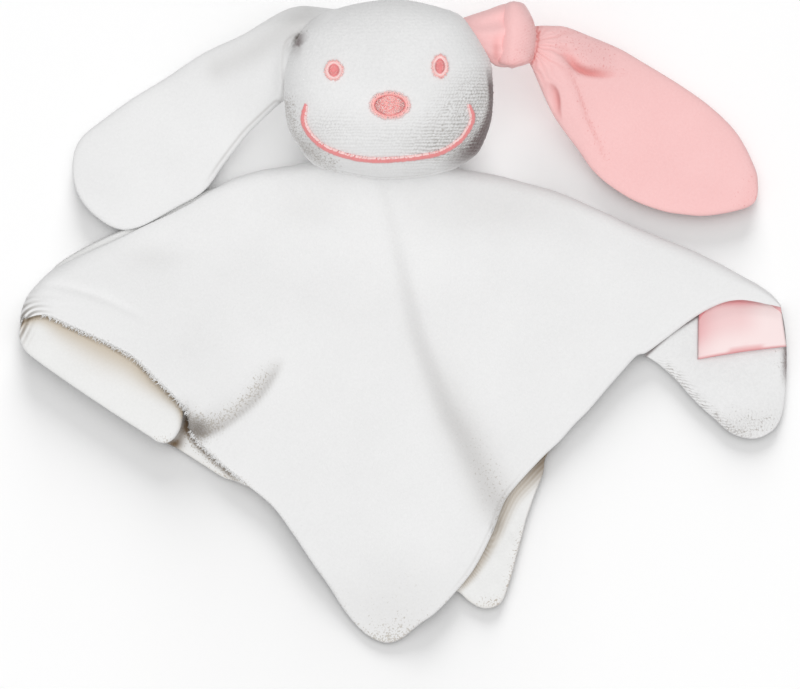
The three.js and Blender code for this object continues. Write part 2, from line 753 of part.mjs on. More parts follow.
toy.add(
  namedMesh('head_face_panel', headPanel(1), terryWhite, headCover),
  namedMesh('head_back_panel', headPanel(-1), terryWhite, headCover),
  namedMesh('head_stuffing', headStuffing(), cream, 1),
  namedMesh('left_eye_ring', stitchedRing(leftEyeShares, eyeRing, eyeCentre), stitchPink, 0.5),
  namedMesh('left_eye_centre', stitchedPatch(leftEyeShares, ...eyeFill), stitchPink, 0.5),
  namedMesh('right_eye_ring', stitchedRing(rightEyeShares, eyeRing, eyeCentre), stitchPink, 0.5),
  namedMesh('right_eye_centre', stitchedPatch(rightEyeShares, ...eyeFill), stitchPink, 0.5),
  namedMesh('nose_ring', stitchedRing(noseShares, noseRing, noseCentre), stitchPink, 0.5),
  namedMesh('nose_centre', stitchedPatch(noseShares, ...noseFill), stitchPink, 0.5),
  namedMesh('mouth_stitch', mouthStitch(), stitchPink, 0.5),
);

const [whiteFront, whiteBack] = earPanels(whiteHinge, {
  upperShares: whiteEarUpperShares,
  lowerShares: whiteEarLowerShares,
  length: whiteEarLength,
  thickness: whiteEarThickness,
  rise: whiteEarRise,
  droopLength: whiteEarDroop,
});
const [pinkFront, pinkBack] = earPanels(bladeHinge, {
  upperShares: pinkBladeUpperShares,
  lowerShares: pinkBladeLowerShares,
  length: pinkBladeLength,
  thickness: pinkBladeThickness,
  rise: pinkBladeRise,
  droopLength: pinkBladeDroop,
});

toy.add(
  namedMesh('white_ear_root', whiteEarRoot(), white, 0.9),
  namedMesh('white_ear_front_panel', whiteFront, white, 0.9),
  namedMesh('white_ear_back_panel', whiteBack, white, 0.9),
  namedMesh('pink_ear_root', pinkEarRoot(), pink, 0.9),
  namedMesh('pink_ear_knot', knotForm(0), pink, 0.9),
  namedMesh('pink_ear_front_panel', pinkFront, pink, 0.9),
  namedMesh('pink_ear_back_panel', pinkBack, pink, 0.9),
);

const terryDepth = velourThickness + plyGap;
const tongueLevel = clothThickness + plyGap;

toy.add(
  namedMesh('cloth_velour_ply', foldedPly(0, velourThickness), white, 0.9),
  namedMesh('cloth_terry_ply', foldedPly(terryDepth, terryThickness), terryWhite, 0.95),
  namedMesh('front_corner_velour_ply', cornerPly(0, velourThickness), white, 0.9),
  namedMesh('front_corner_terry_ply', cornerPly(terryDepth, terryThickness), terryWhite, 0.95),
  namedMesh('left_corner_terry_ply', tonguePly(tongueLevel, terryThickness), terryWhite, 0.95),
  namedMesh(
    'left_corner_velour_ply',
    tonguePly(tongueLevel + terryThickness + plyGap, velourThickness),
    cream,
    0.9,
  ),
  namedMesh('right_corner_velour_ply', rightCornerPly(0, velourThickness), white, 0.9),
  namedMesh('right_corner_terry_ply', rightCornerPly(terryDepth, terryThickness), terryWhite, 0.95),
  namedMesh('label_ribbon', labelRibbon(), ribbonPink, 0.35),
);

// The origin is the middle of the toy's box, on the surface that it lies on
const box = new THREE.Box3().setFromObject(toy);
const middle = box.getCenter(new THREE.Vector3());
toy.position.set(-middle.x, -middle.y, -box.min.z);

export default toy;
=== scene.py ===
# Looks of a comforter cloth with a stuffed bunny head, one plain white ear and one knotted pink ear.
# Metres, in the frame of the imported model: +X towards the pink ear, +Y up the picture, +Z to the face.

import math

import bmesh
import bpy
import numpy as np
from mathutils import Matrix, Vector


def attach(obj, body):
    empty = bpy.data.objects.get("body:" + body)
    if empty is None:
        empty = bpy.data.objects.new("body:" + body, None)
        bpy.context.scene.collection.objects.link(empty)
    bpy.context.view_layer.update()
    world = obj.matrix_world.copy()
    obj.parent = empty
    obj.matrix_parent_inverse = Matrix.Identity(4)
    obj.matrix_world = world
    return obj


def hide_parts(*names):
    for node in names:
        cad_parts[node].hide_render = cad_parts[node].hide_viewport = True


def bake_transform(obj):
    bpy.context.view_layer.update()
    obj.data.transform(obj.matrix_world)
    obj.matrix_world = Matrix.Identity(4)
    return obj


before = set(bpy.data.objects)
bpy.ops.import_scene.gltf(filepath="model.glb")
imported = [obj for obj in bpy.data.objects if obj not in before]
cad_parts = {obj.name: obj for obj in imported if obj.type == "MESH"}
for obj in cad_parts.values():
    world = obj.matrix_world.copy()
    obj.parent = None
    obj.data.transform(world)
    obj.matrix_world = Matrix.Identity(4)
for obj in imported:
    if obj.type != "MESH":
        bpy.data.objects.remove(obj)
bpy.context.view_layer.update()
bpy.context.scene.view_settings.view_transform = "Standard"

MM = 0.001
rng = np.random.default_rng(7)

# Picture: its size in pixels, a pixel's size on the table, and the table's place at its middle
PICTURE = (800, 689)
PIXEL = 0.42 * MM
AIM = Vector((-1.925 * MM, -6.908 * MM, 0))
ELEVATION = math.radians(80)
CAMERA_DISTANCE = 4.0
SENSOR = 36.0

# Cloth: velour and terry plies together, and the height of what lies under each layer
SHEET = 3.2
LAYER = 3.8
FOLD_RADIUS_PX = 13.0
HEM_PX = 4.5

# Head: height of its widest level and half its thickness, in millimetres
HEAD_LEVEL = 30.5
HEAD_HALF = 31.0
HEAD_POWER = 2.6
HEAD_MIDDLE_PX = (388.0, 89.0)

# Ears: thickness, root height and the reach over which they come down to the table
EAR_HALF = 3.9
WHITE_ROOT_LEVEL = 30.0
PINK_ROOT_LEVEL = 26.0
EAR_REACH = 52.0

# Outlines in pixels of the photograph. Each of the first rows runs from the cloth's fold edge to its
# hem: the edge's place, then the hem's.
CLOTH_COLUMNS = (
    (20, 322, 20, 323), (21, 313, 25, 319.5), (24, 303, 32, 316.5), (29, 293.5, 41, 315),
    (38, 283, 52, 318), (50, 271.5, 66, 325), (63, 264, 84, 333), (82, 255, 108, 344.5),
    (104, 245, 133, 358), (124, 236, 155, 379), (142, 227, 170, 393.5), (156, 220.5, 182, 406),
    (168, 215, 188, 414), (180, 209, 189, 424), (192, 202.5, 190.5, 434), (204, 194.5, 199, 444.5),
    (219, 186, 215, 459), (234, 178.5, 232.5, 474.5), (247, 174, 244, 483), (262, 170, 272, 506),
    (278, 167.5, 293, 534), (294, 165, 313, 564), (309, 161.5, 328, 585), (330, 158.5, 344, 610),
    (348, 158, 359, 628), (366, 159, 372, 638), (388, 160, 387, 643), (408, 160.5, 402, 638.5),
    (428, 161.5, 418, 625.5), (446, 165, 435.5, 613), (464, 169.5, 453, 595),
    (482, 172.5, 474, 569), (500, 176, 492, 534), (514, 179.8, 504, 503), (528, 183.5, 517, 485),
    (548, 189, 543, 457), (562, 193.8, 560, 441), (576, 199.5, 575, 424), (590, 206, 589, 410),
    (606, 213, 606, 390), (622, 221, 621, 373), (638, 228.5, 636.5, 356), (648, 232.5, 646, 353),
    (664, 239, 664, 340), (688, 248.5, 688, 322), (706, 257, 706, 310.5), (724, 266, 724, 302.5),
    (742, 276, 740, 300), (756, 283.5, 754, 301.5), (768, 291.5, 766, 304), (776, 299, 774, 305.5),
    (781, 306, 780.5, 307),
)
TUCK_HEM = (
    (20, 323), (25, 319.5), (32, 316.5), (41, 315), (52, 318), (66, 325), (84, 333),
    (108, 344.5), (133, 358), (155, 379), (170, 393.5), (182, 406), (188, 414),
)
SUPPORT_LINE = (
    (0, 330), (171, 450), (241, 488), (300, 520), (370, 556), (430, 588), (490, 625), (800, 690),
)
CREASE = (
    (374, 172), (377, 188), (381.5, 207), (388, 238), (394, 268), (400.5, 301.5), (409, 339),
    (419, 371), (435, 414), (453, 452), (471, 493), (486, 520),
)
PLEAT = (
    (176, 424), (190, 433), (205, 434), (220, 427), (238, 414), (252, 402), (264, 388), (275, 371),
    (285, 353),
)
LEFT_WRINKLES = ((16, 322), (24, 310), (36, 304), (52, 305), (70, 312))
LEFT_CREASE = ((30, 288), (60, 286), (95, 295), (122, 307), (150, 322))
PUFF = ((181, 396), (228, 362), (294, 318))
LOWER_FOLD_EDGE = (
    (26, 312), (33, 293), (52, 270), (62, 261), (80, 250), (104, 237.5), (142, 220.5),
    (180, 202.5), (205, 190), (230, 184), (255, 178), (309, 172), (388, 172), (455, 176),
    (560, 202), (639, 238), (721, 274), (760, 298), (770, 304),
)
LOWER_HEM = (
    (26, 330), (70, 374), (110, 402), (148, 428), (163, 441), (178, 449), (200, 463),
    (223.5, 477.6), (242, 484), (300, 512), (370, 545), (430, 577), (458, 592), (466, 599),
    (477, 606.5), (487, 608.6), (498, 605.5), (504, 598), (508, 587), (512, 574), (518, 551),
    (522, 536), (527, 517), (535, 494), (543, 474), (547, 455), (570, 424), (600, 392),
    (640, 352), (700, 316), (745, 303), (770, 304),
)
TONGUE_OUTER = (
    (19.5, 330), (19.5, 338), (24, 349), (36, 360), (69, 383.5), (110, 411), (148, 435.5),
    (157, 441.5), (166, 443), (174, 438.5), (180, 429), (183, 417), (184, 404),
)
TONGUE_INNER = (
    (19.5, 330), (24, 318), (34, 306), (50, 300), (75, 302), (105, 316), (132, 332), (150, 348),
    (164, 364), (174, 378), (182, 392), (184, 404),
)
FLAP_OUTER = (
    (644, 355), (658, 364), (675, 379), (690, 396), (703, 409), (713, 417.5), (724, 428),
    (735, 435), (748, 438.5), (760, 437.5), (772, 431), (779, 422), (783, 410), (785.5, 392),
    (786.5, 372), (786.5, 346), (784, 322), (780, 306),
)
FLAP_INNER = (
    (644, 355), (655, 338), (672, 324), (690, 311), (710, 299), (735, 292), (760, 294), (780, 306),
)
LABEL_TOP = ((780.5, 305), (760, 298), (735, 295), (715, 301), (698, 311))
LABEL_BOTTOM = ((786.5, 346.5), (765, 349), (745, 351.5), (720, 355.5), (697.5, 359.5))
HEAD_OUTLINE = (
    (284, 98), (288, 126), (298, 143), (309.5, 159), (325, 167), (348, 172), (375, 176.5),
    (398, 176.5), (425, 174), (440, 170.5), (455, 166), (469, 158), (480.6, 147), (490.5, 122),
    (493, 100), (492.6, 82), (491, 65), (483, 49), (473, 33), (460, 18), (437, 9.8), (413, 4.2),
    (389, 2.8), (364, 5.6), (340, 11), (320, 19), (302, 34), (290, 56), (285, 76),
)
MOUTH = (
    (306.7, 105), (304, 119), (308, 130.5), (319, 143), (336, 152), (358.6, 158), (378, 159.7),
    (400.7, 158.5), (420, 156.4), (441, 151.5), (459.6, 140), (469.4, 126), (472, 116.5),
    (468.7, 105),
)
LEFT_EYE = (334.2, 70.5)
RIGHT_EYE = (439.7, 66.5)
NOSE = (389.8, 105.2)
WHITE_EAR_UPPER = (
    (352, 15), (338, 10), (326, 8), (305, 5.8), (293, 7.5), (284, 10.5), (270, 18), (242, 35),
    (204, 53), (166, 78), (131, 99.5), (101.5, 121), (83, 136), (75, 150), (72.4, 166),
    (74, 181),
)
WHITE_EAR_LOWER = (
    (322, 86), (306, 93), (293, 98), (284, 101), (277, 106), (263, 119), (246, 136), (225, 163),
    (204, 191), (176, 208), (150, 222.5), (137, 228), (123, 230), (108, 225), (93, 214),
    (83, 203), (77, 192), (74, 181),
)
EAR_FOLD = ((296, 34), (288, 39), (284, 46), (282.4, 58), (282, 72), (283, 88), (281, 103))
EAR_VALLEY = ((308, 12), (288, 26), (258, 48), (218, 68))
HEAD_SHOULDER = ((284, 98), (285, 76), (290, 56), (302, 34), (320, 19), (340, 11), (356, 6))
PINK_ROOT_UPPER = ((452, 19), (462, 18), (474, 14), (488, 9.5), (500, 5), (509, 3))
PINK_ROOT_LOWER = ((478, 50), (487, 58), (490.5, 62), (496, 66), (504, 67.5), (509, 67))
KNOT_LEFT = (
    (514, 1), (506.5, 3.5), (502, 13), (500, 26), (498, 40), (496.5, 53), (496.5, 63), (512, 68.5),
)
KNOT_RIGHT = (
    (514, 1), (523.5, 3.5), (530, 13), (534.5, 24), (536, 36), (534.5, 50), (531, 62), (512, 68.5),
)
BLADE_UPPER = (
    (524, 30), (537, 26), (552, 25.8), (566, 27), (587, 35), (618, 48), (639, 60), (681.5, 86),
    (713, 109), (738, 135), (755, 168), (758, 185), (757.5, 196),
)
BLADE_LOWER = (
    (520, 50), (531, 66), (540.5, 88), (555, 118), (576, 147), (597, 175), (629, 198),
    (660.5, 210.5), (683, 214.5), (702.6, 216), (723.6, 213.6), (744.6, 208.5), (754, 203),
    (757.5, 196),
)
POCKET_RIM = (
    (554, 50), (562, 57), (569, 64), (575, 70), (584, 74.5), (595, 76.5), (606, 77.5), (618, 77),
)
POCKET_ARC = ((545, 81), (551, 83.5), (556, 87), (559, 93), (560.5, 101), (561, 110), (563, 122))
BLADE_ROLL = ((540, 52), (553, 60), (563, 74), (570, 93), (579, 118), (590, 142), (603, 168))
BLADE_SEAM = ((567, 64), (574, 80), (580, 95), (584, 108), (589, 122), (596, 137), (605, 160))
KNOT_CREASE = ((533, 18), (536.5, 28), (537, 38), (535.5, 50), (531, 62))


# Shapes worked out over the picture

def from_picture(across, down, height):
    """Where the camera's ray through a pixel reaches a height in millimetres above the table."""
    right = (np.asarray(across, float) - PICTURE[0] / 2) * PIXEL
    up = (PICTURE[1] / 2 - np.asarray(down, float)) * PIXEL
    level = np.asarray(height, float) * MM
    sine, cosine = math.sin(ELEVATION), math.cos(ELEVATION)
    eye_y, eye_z = AIM.y - cosine * CAMERA_DISTANCE, sine * CAMERA_DISTANCE
    ray_y = cosine * CAMERA_DISTANCE + sine * up
    ray_z = -sine * CAMERA_DISTANCE + cosine * up
    reach = (level - eye_z) / ray_z
    return np.stack(np.broadcast_arrays(AIM.x + reach * right, eye_y + reach * ray_y, level), axis=-1)


def smooth_path(points, count=400, steps=24):
    """Places spread evenly along a smooth line through the points."""
    knots = np.array(points, float)
    ends = np.vstack([2 * knots[0] - knots[1], knots, 2 * knots[-1] - knots[-2]])
    t = np.linspace(0, 1, steps, endpoint=False)[:, None]
    runs = []
    for before, start, end, after in zip(ends, ends[1:], ends[2:], ends[3:]):
        slope = (end - before) * t
        bend = (2 * before - 5 * start + 4 * end - after) * t**2
        twist = (3 * start - before - 3 * end + after) * t**3
        runs.append(start + (slope + bend + twist) / 2)
    line = np.vstack([*runs, knots[-1:]])
    gaps = np.linalg.norm(np.diff(line, axis=0), axis=1)
    length = np.concatenate([[0], np.cumsum(gaps)])
    wanted = np.linspace(0, length[-1], count)
    return np.stack([np.interp(wanted, length, line[:, i]) for i in range(line.shape[1])], axis=-1)


def sample(path, share):
    """The place at a share of a path's length."""
    even = np.linspace(0, 1, len(path))
    return np.stack([np.interp(share, even, path[:, i]) for i in range(path.shape[1])], axis=-1)


def smoothstep(value, low, high):
    share = np.clip((value - low) / (high - low), 0, 1)
    return share * share * (3 - 2 * share)


def window(value, edges):
    """0 before the first edge, 1 between the second and the third, and 0 again after the fourth."""
    opens, is_open, closes, is_shut = edges
    return smoothstep(value, opens, is_open) * (1 - smoothstep(value, closes, is_shut))


def bump(distance, width):
    return np.exp(-((distance / width) ** 2))


def spot(across, down, oval):
    """A soft oval spot: 1 at its middle. The oval is its middle, half width and half height."""
    return bump(np.hypot((across - oval[0]) / oval[2], (down - oval[1]) / oval[3]), 1)


def spots(across, down, table):
    """The sum of soft spots, each with its strength first."""
    return sum(strength * spot(across, down, oval) for strength, *oval in table)


def arch(share):
    """0 at both ends and 1 half way."""
    return np.sin(math.pi * np.clip(share, 0, 1))


def rounded(share):
    """How far a rounded edge has dropped: 1 at the edge, 0 from a share of 1 on."""
    return 1 - np.sqrt(1 - (1 - np.clip(share, 0, 1)) ** 2)


def directions(line):
    """The unit vector along a line at each of its places."""
    way = np.gradient(line, axis=0)
    return way / np.linalg.norm(way, axis=1, keepdims=True)


def beside(across, down, points, count=40):
    """Distance from a line of points, positive on its right going along it, and the share along it."""
    line = smooth_path(points, count)
    place = np.stack([across, down], axis=-1)
    best = np.full(len(place), np.inf)
    signed = np.zeros(len(place))
    share = np.zeros(len(place))
    for i, (start, end) in enumerate(zip(line, line[1:])):
        span = end - start
        along = np.clip((place - start) @ span / (span @ span), 0, 1)
        offset = place - start - along[:, None] * span
        gap = np.linalg.norm(offset, axis=1)
        closer = gap < best
        side = np.where(span[0] * offset[:, 1] - span[1] * offset[:, 0] > 0, 1.0, -1.0)
        best = np.where(closer, gap, best)
        signed = np.where(closer, side * gap, signed)
        share = np.where(closer, (i + along) / (len(line) - 1), share)
    return signed, share


def ripple(across, down, length, seed):
    """Soft unevenness between -1 and 1 whose swells are about a length across, in pixels."""
    waves = np.random.default_rng(seed)
    total = np.zeros(np.shape(across))
    for angle, phase, stretch in zip(
        waves.uniform(0, math.pi, 7), waves.uniform(0, math.tau, 7), waves.uniform(0.7, 1.5, 7)
    ):
        run = (across * math.cos(angle) + down * math.sin(angle)) / length
        total += np.sin(math.tau * run * stretch + phase)
    return total / 4


def to_picture(points):
    """The pixels at which points show."""
    sine, cosine = math.sin(ELEVATION), math.cos(ELEVATION)
    offset = points - np.array(AIM)
    depth = CAMERA_DISTANCE - (-offset[:, 1] * cosine + offset[:, 2] * sine)
    scale = CAMERA_DISTANCE / depth / PIXEL
    across = PICTURE[0] / 2 + offset[:, 0] * scale
    down = PICTURE[1] / 2 - (offset[:, 1] * sine + offset[:, 2] * cosine) * scale
    return across, down


def picture_of(piece):
    """The pixels at which a piece's points show."""
    points = np.empty(len(piece.data.vertices) * 3, np.float32)
    piece.data.vertices.foreach_get("co", points)
    return to_picture(points.reshape(-1, 3).astype(float))


# Mesh helpers

def flat_grid(columns, rows):
    """A flat grid of faces, with each point's share across it and along it."""
    mesh = bmesh.new()
    bmesh.ops.create_grid(mesh, x_segments=columns, y_segments=rows, size=0.5)
    flat = np.array([vert.co for vert in mesh.verts])
    return mesh, flat[:, 0] + 0.5, flat[:, 1] + 0.5


def place_points(mesh, places):
    for vert, place in zip(mesh.verts, places):
        vert.co = place
    mesh.normal_update()


def push_out(mesh, amounts):
    """Moves each point along its normal by its amount in millimetres."""
    normals = [vert.normal.copy() for vert in mesh.verts]
    for vert, normal, amount in zip(mesh.verts, normals, amounts):
        vert.co += normal * (amount * MM)
    mesh.normal_update()


def add_piece(name, mesh, material, body=None):
    data = bpy.data.meshes.new(name)
    mesh.to_mesh(data)
    mesh.free()
    piece = bpy.data.objects.new(name, data)
    bpy.context.scene.collection.objects.link(piece)
    data.materials.append(material)
    data.polygons.foreach_set("use_smooth", [True] * len(data.polygons))
    if body:
        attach(piece, body)
    return piece


def give_shade(piece, values, name="fold"):
    """Stores how far each point takes one of the material's tones, from 0 to 1: painted shade in a fold
    or far inside it, or the open gaps between loops.
    """
    attribute = piece.data.attributes.new(name, "FLOAT", "POINT")
    attribute.data.foreach_set("value", np.clip(values, 0, 1).astype(np.float32))


def solid_sheet(piece, thickness=SHEET, shares=None):
    """Gives an open sheet its thickness below its face, or each point its share of it."""
    modifier = piece.modifiers.new("thickness", "SOLIDIFY")
    modifier.thickness = thickness * MM
    modifier.offset = -1
    if shares is not None:
        group = piece.vertex_groups.new(name="share")
        for i, share in enumerate(np.clip(shares, 0.05, 1)):
            group.add([i], float(share), "REPLACE")
        modifier.vertex_group = group.name
    return piece


def join_faces(upper, lower):
    """One closed body from an upper and a lower grid whose rims coincide."""
    bmesh.ops.reverse_faces(lower, faces=lower.faces[:])
    under = bpy.data.meshes.new("under")
    lower.to_mesh(under)
    lower.free()
    upper.from_mesh(under)
    bpy.data.meshes.remove(under)
    bmesh.ops.remove_doubles(upper, verts=upper.verts[:], dist=0.02 * MM)
    upper.normal_update()
    return upper


def scatter(shape, matrices):
    """One mesh with a copy of a small shape for each matrix."""
    one = bpy.data.meshes.new("one")
    shape.to_mesh(one)
    shape.free()
    many = bmesh.new()
    for matrix in matrices:
        copy = one.copy()
        copy.transform(matrix)
        many.from_mesh(copy)
        bpy.data.meshes.remove(copy)
    bpy.data.meshes.remove(one)
    return many


def facing(place, forward, up, size):
    """The matrix that lays a shape at a place, its X along forward and its Z along up."""
    along = Vector(forward).normalized()
    side = Vector(up).cross(along).normalized()
    top = along.cross(side)
    turn = Matrix((along, side, top)).transposed()
    return Matrix.Translation(Vector(place)) @ turn.to_4x4() @ Matrix.Diagonal((*size, 1))


# Materials

def linear(code):
    """A colour written as sRGB hex, turned to linear."""
    parts = [int(code[i:i + 2], 16) / 255 for i in (1, 3, 5)]
    return (*[p / 12.92 if p <= 0.04045 else ((p + 0.055) / 1.055) ** 2.4 for p in parts], 1)


def add_node(tree, kind, settings=None, **links):
    """A node with its settings, and its inputs linked to sockets or set to values."""
    node = tree.nodes.new(kind)
    for key, value in (settings or {}).items():
        setattr(node, key, value)
    for key, value in links.items():
        socket = node.inputs[int(key[1:]) if key[0] == "i" and key[1:].isdigit() else key.replace("_", " ")]
        if isinstance(value, bpy.types.NodeSocket):
            tree.links.new(value, socket)
        else:
            socket.default_value = value
    return node


def new_material(name, **principled):
    material = bpy.data.materials.new(name)
    material.use_nodes = True
    tree = material.node_tree
    shader = tree.nodes["Principled BSDF"]
    for key, value in principled.items():
        shader.inputs[key.replace("_", " ")].default_value = value
    return material, tree, shader


# Settings of nodes. A Mix node for colours takes them at its inputs 6 and 7, and its output is 2.
TIMES = {"operation": "MULTIPLY"}
PLUS = {"operation": "ADD"}
LARGER = {"operation": "MAXIMUM"}
COLOURS = {"data_type": "RGBA"}

# Spacing of the pile's soft patches, of the gaps between loops and of a thread's tones, and the
# ribbon's weft: its repeats in a metre each way and its relief
PATCH_MM = 26
CELL_MM = 0.72
THREAD_TONE_MM = 0.8
WEFT_SCALE = (150.0, 2600.0, 150.0)
WEFT_RELIEF_MM = 0.06


def cloth_material(name, light, shade, fold, painted_deep_shade, speck, pile, relief, sheen=0.4):
    """A soft pile cloth. Light and shade are its colour on and between the pile's tufts. The two colours
    after them are painted shade: the first in a fold, the second far inside one, as far as the
    attributes of those names say. Where the pile has loops or rows, the first attribute also draws the
    dark gaps, strokes and lines between them. Pile is the tufts' spacing in millimetres and relief the
    bump's height. Speck is the colour of the gaps between loops, which open as the attribute of that
    name grows."""
    material, tree, shader = new_material(
        name, Roughness=0.92, Sheen_Weight=sheen, Sheen_Roughness=0.45, Specular_IOR_Level=0.15
    )
    place = add_node(tree, "ShaderNodeTexCoord").outputs["Object"]
    tuft = add_node(
        tree, "ShaderNodeTexNoise", Vector=place, Scale=1 / (pile * MM), Detail=3.0, Roughness=0.62
    ).outputs["Fac"]
    patch = add_node(
        tree, "ShaderNodeTexNoise", Vector=place, Scale=1 / (PATCH_MM * MM), Detail=2.0, Roughness=0.5
    ).outputs["Fac"]
    both = add_node(tree, "ShaderNodeMath", TIMES, i0=tuft, i1=0.65).outputs[0]
    part = add_node(tree, "ShaderNodeMath", TIMES, i0=patch, i1=0.5).outputs[0]
    total = add_node(tree, "ShaderNodeMath", PLUS, i0=both, i1=part).outputs[0]
    lit = add_node(
        tree, "ShaderNodeMapRange", Value=total, From_Min=0.38, From_Max=0.76, To_Min=0.0, To_Max=1.0
    ).outputs[0]
    cells = add_node(
        tree, "ShaderNodeTexVoronoi", {"feature": "F1"}, Vector=place, Scale=1 / (CELL_MM * MM),
        Randomness=1.0,
    ).outputs["Distance"]
    open_ = add_node(tree, "ShaderNodeAttribute", {"attribute_name": "speck"}).outputs["Fac"]
    reach = add_node(tree, "ShaderNodeMath", TIMES, i0=open_, i1=0.5).outputs[0]
    above = add_node(tree, "ShaderNodeMath", PLUS, i0=cells, i1=reach).outputs[0]
    gaps = add_node(
        tree, "ShaderNodeMapRange", Value=above, From_Min=0.84, From_Max=1.1, To_Min=0.0, To_Max=0.85
    ).outputs[0]
    some = add_node(
        tree, "ShaderNodeMapRange", Value=open_, From_Min=0.0, From_Max=0.15, To_Min=0.0, To_Max=1.0
    ).outputs[0]
    dots = add_node(tree, "ShaderNodeMath", TIMES, i0=gaps, i1=some).outputs[0]
    # Painted shade: the fold attribute darkens folds, pockets and hems, the next one the far inside of
    # hollows and crevices
    fold_shade_and_loop_share = add_node(tree, "ShaderNodeAttribute", {"attribute_name": "fold"}).outputs["Fac"]
    darkest_shade_share = add_node(tree, "ShaderNodeAttribute", {"attribute_name": "painted_deep_shade"}).outputs["Fac"]
    colour = linear(shade)
    for share, tone in ((lit, light), (dots, speck), (fold_shade_and_loop_share, fold), (darkest_shade_share, painted_deep_shade)):
        mixed = add_node(tree, "ShaderNodeMix", COLOURS, Factor=share, i6=colour, i7=linear(tone))
        colour = mixed.outputs[2]
    tree.links.new(colour, shader.inputs["Base Color"])
    nap = add_node(tree, "ShaderNodeBump", Height=tuft, Strength=0.6, Distance=relief * MM).outputs["Normal"]
    tree.links.new(nap, shader.inputs["Normal"])
    return material


# The third and fourth colours of each cloth are painted shade, for its folds and for the far inside of its
# hollows.
# Sheared cotton velour: a short dense nap, matt, with a soft bloom at grazing angles. The nap is
# about 0.5 mm apart in life and is drawn 1.1 mm apart, so that it shows.
white_velour = cloth_material(
    "sheared_velour_white", "#efefef", "#eaeaea", "#8c8680", "#5d544c", "#c6c1b9", pile=1.1, relief=0.25
)
cream_velour = cloth_material(
    "sheared_velour_cream", "#efefee", "#eaeae9", "#c6b8a3", "#6e5c48", "#b8ada0", pile=1.1, relief=0.25
)
pink_velour = cloth_material(
    "sheared_velour_pink", "#fbcccb", "#f8c6c5", "#e08c88", "#bd5a5c", "#eaa3a1", pile=1.1, relief=0.3
)
# Looped terry: uncut loops, drawn 1.2 mm apart, with dark gaps of about 0.7 mm where it is stretched
white_terry = cloth_material(
    "looped_terry_white", "#efefef", "#e6e6e6", "#8c8680", "#5c4746", "#b7b2ad", pile=1.2, relief=0.4
)


def thread_material(name, colour, other):
    """Rayon embroidery thread: smooth filaments with a silky gloss."""
    material, tree, shader = new_material(name, Roughness=0.42, Sheen_Weight=0.2, Specular_IOR_Level=0.4)
    place = add_node(tree, "ShaderNodeTexCoord").outputs["Object"]
    tone = add_node(
        tree, "ShaderNodeTexNoise", Vector=place, Scale=1 / (THREAD_TONE_MM * MM), Detail=2.0
    ).outputs["Fac"]
    mixed = add_node(tree, "ShaderNodeMix", COLOURS, Factor=tone, i6=linear(colour), i7=linear(other))
    tree.links.new(mixed.outputs[2], shader.inputs["Base Color"])
    return material


rose_thread = thread_material("rayon_thread_rose", "#ee8f91", "#f5a6a6")
middle_thread = thread_material("rayon_thread_middle", "#f8b8b4", "#fbcac6")
pale_thread = thread_material("rayon_thread_pale", "#fde6e4", "#fad2d0")


def satin_material():
    """Woven satin ribbon: long weft floats that give a soft gloss along the ribbon."""
    material, tree, shader = new_material(
        "woven_satin_pink", Roughness=0.38, Specular_IOR_Level=0.45, Sheen_Weight=0.15
    )
    place = add_node(tree, "ShaderNodeTexCoord").outputs["Object"]
    # Painted shade: the fold attribute mixes in a darker rose under the hem, at the fold, in the lens of the
    # second layer and over the underside
    edge = add_node(tree, "ShaderNodeAttribute", {"attribute_name": "fold"}).outputs["Fac"]
    light, dark = linear("#f8e6e5"), linear("#dd8a8e")
    mixed = add_node(tree, "ShaderNodeMix", COLOURS, Factor=edge, i6=light, i7=dark)
    tree.links.new(mixed.outputs[2], shader.inputs["Base Color"])
    turned = add_node(tree, "ShaderNodeMapping", Vector=place, Scale=WEFT_SCALE).outputs[0]
    weft = add_node(tree, "ShaderNodeTexNoise", Vector=turned, Scale=1.0, Detail=1.0).outputs["Fac"]
    grain = add_node(
        tree, "ShaderNodeBump", Height=weft, Strength=0.35, Distance=WEFT_RELIEF_MM * MM
    ).outputs["Normal"]
    tree.links.new(grain, shader.inputs["Normal"])
    return material


satin = satin_material()


# Stage: a white floor that shows the toy's shadow, even light from all round, and three lamps. One
# softbox lights the toy. Two others light the paper alone: a low one, from over the picture's top,
# draws the long shadows of what lies flat, and a wide one overhead draws the short ones of everything.

FLOOR_SIZE = 3.0
FLOOR_LEVEL = -0.2 * MM
WHITE = (1, 1, 1, 1)
AMBIENT = 0.5
LAMPS = (
    ("softbox_over_the_toy", (0.03, 0.20, -0.98), 1.62, 80, "EXCLUDE"),
    ("softbox_low_for_the_paper", (-0.04, -0.965, -0.26), 3.5, 32, "INCLUDE"),
    ("softbox_wide_for_the_paper", (-0.03, -0.22, -0.97), 0.66, 80, "INCLUDE"),
)


def add_floor():
    mesh = bmesh.new()
    bmesh.ops.create_grid(mesh, x_segments=1, y_segments=1, size=FLOOR_SIZE)
    data = bpy.data.meshes.new("floor")
    mesh.to_mesh(data)
    mesh.free()
    ground = bpy.data.objects.new("floor", data)
    ground.location.z = FLOOR_LEVEL
    bpy.context.scene.collection.objects.link(ground)
    material, tree, shader = new_material("matt_paper_white", Roughness=1.0, Specular_IOR_Level=0.0)
    ray = add_node(tree, "ShaderNodeLightPath").outputs["Is Camera Ray"]
    paper = add_node(tree, "ShaderNodeMix", COLOURS, Factor=ray, i6=linear("#dcdcdc"), i7=WHITE).outputs[2]
    tree.links.new(paper, shader.inputs["Base Color"])
    data.materials.append(material)
    return ground


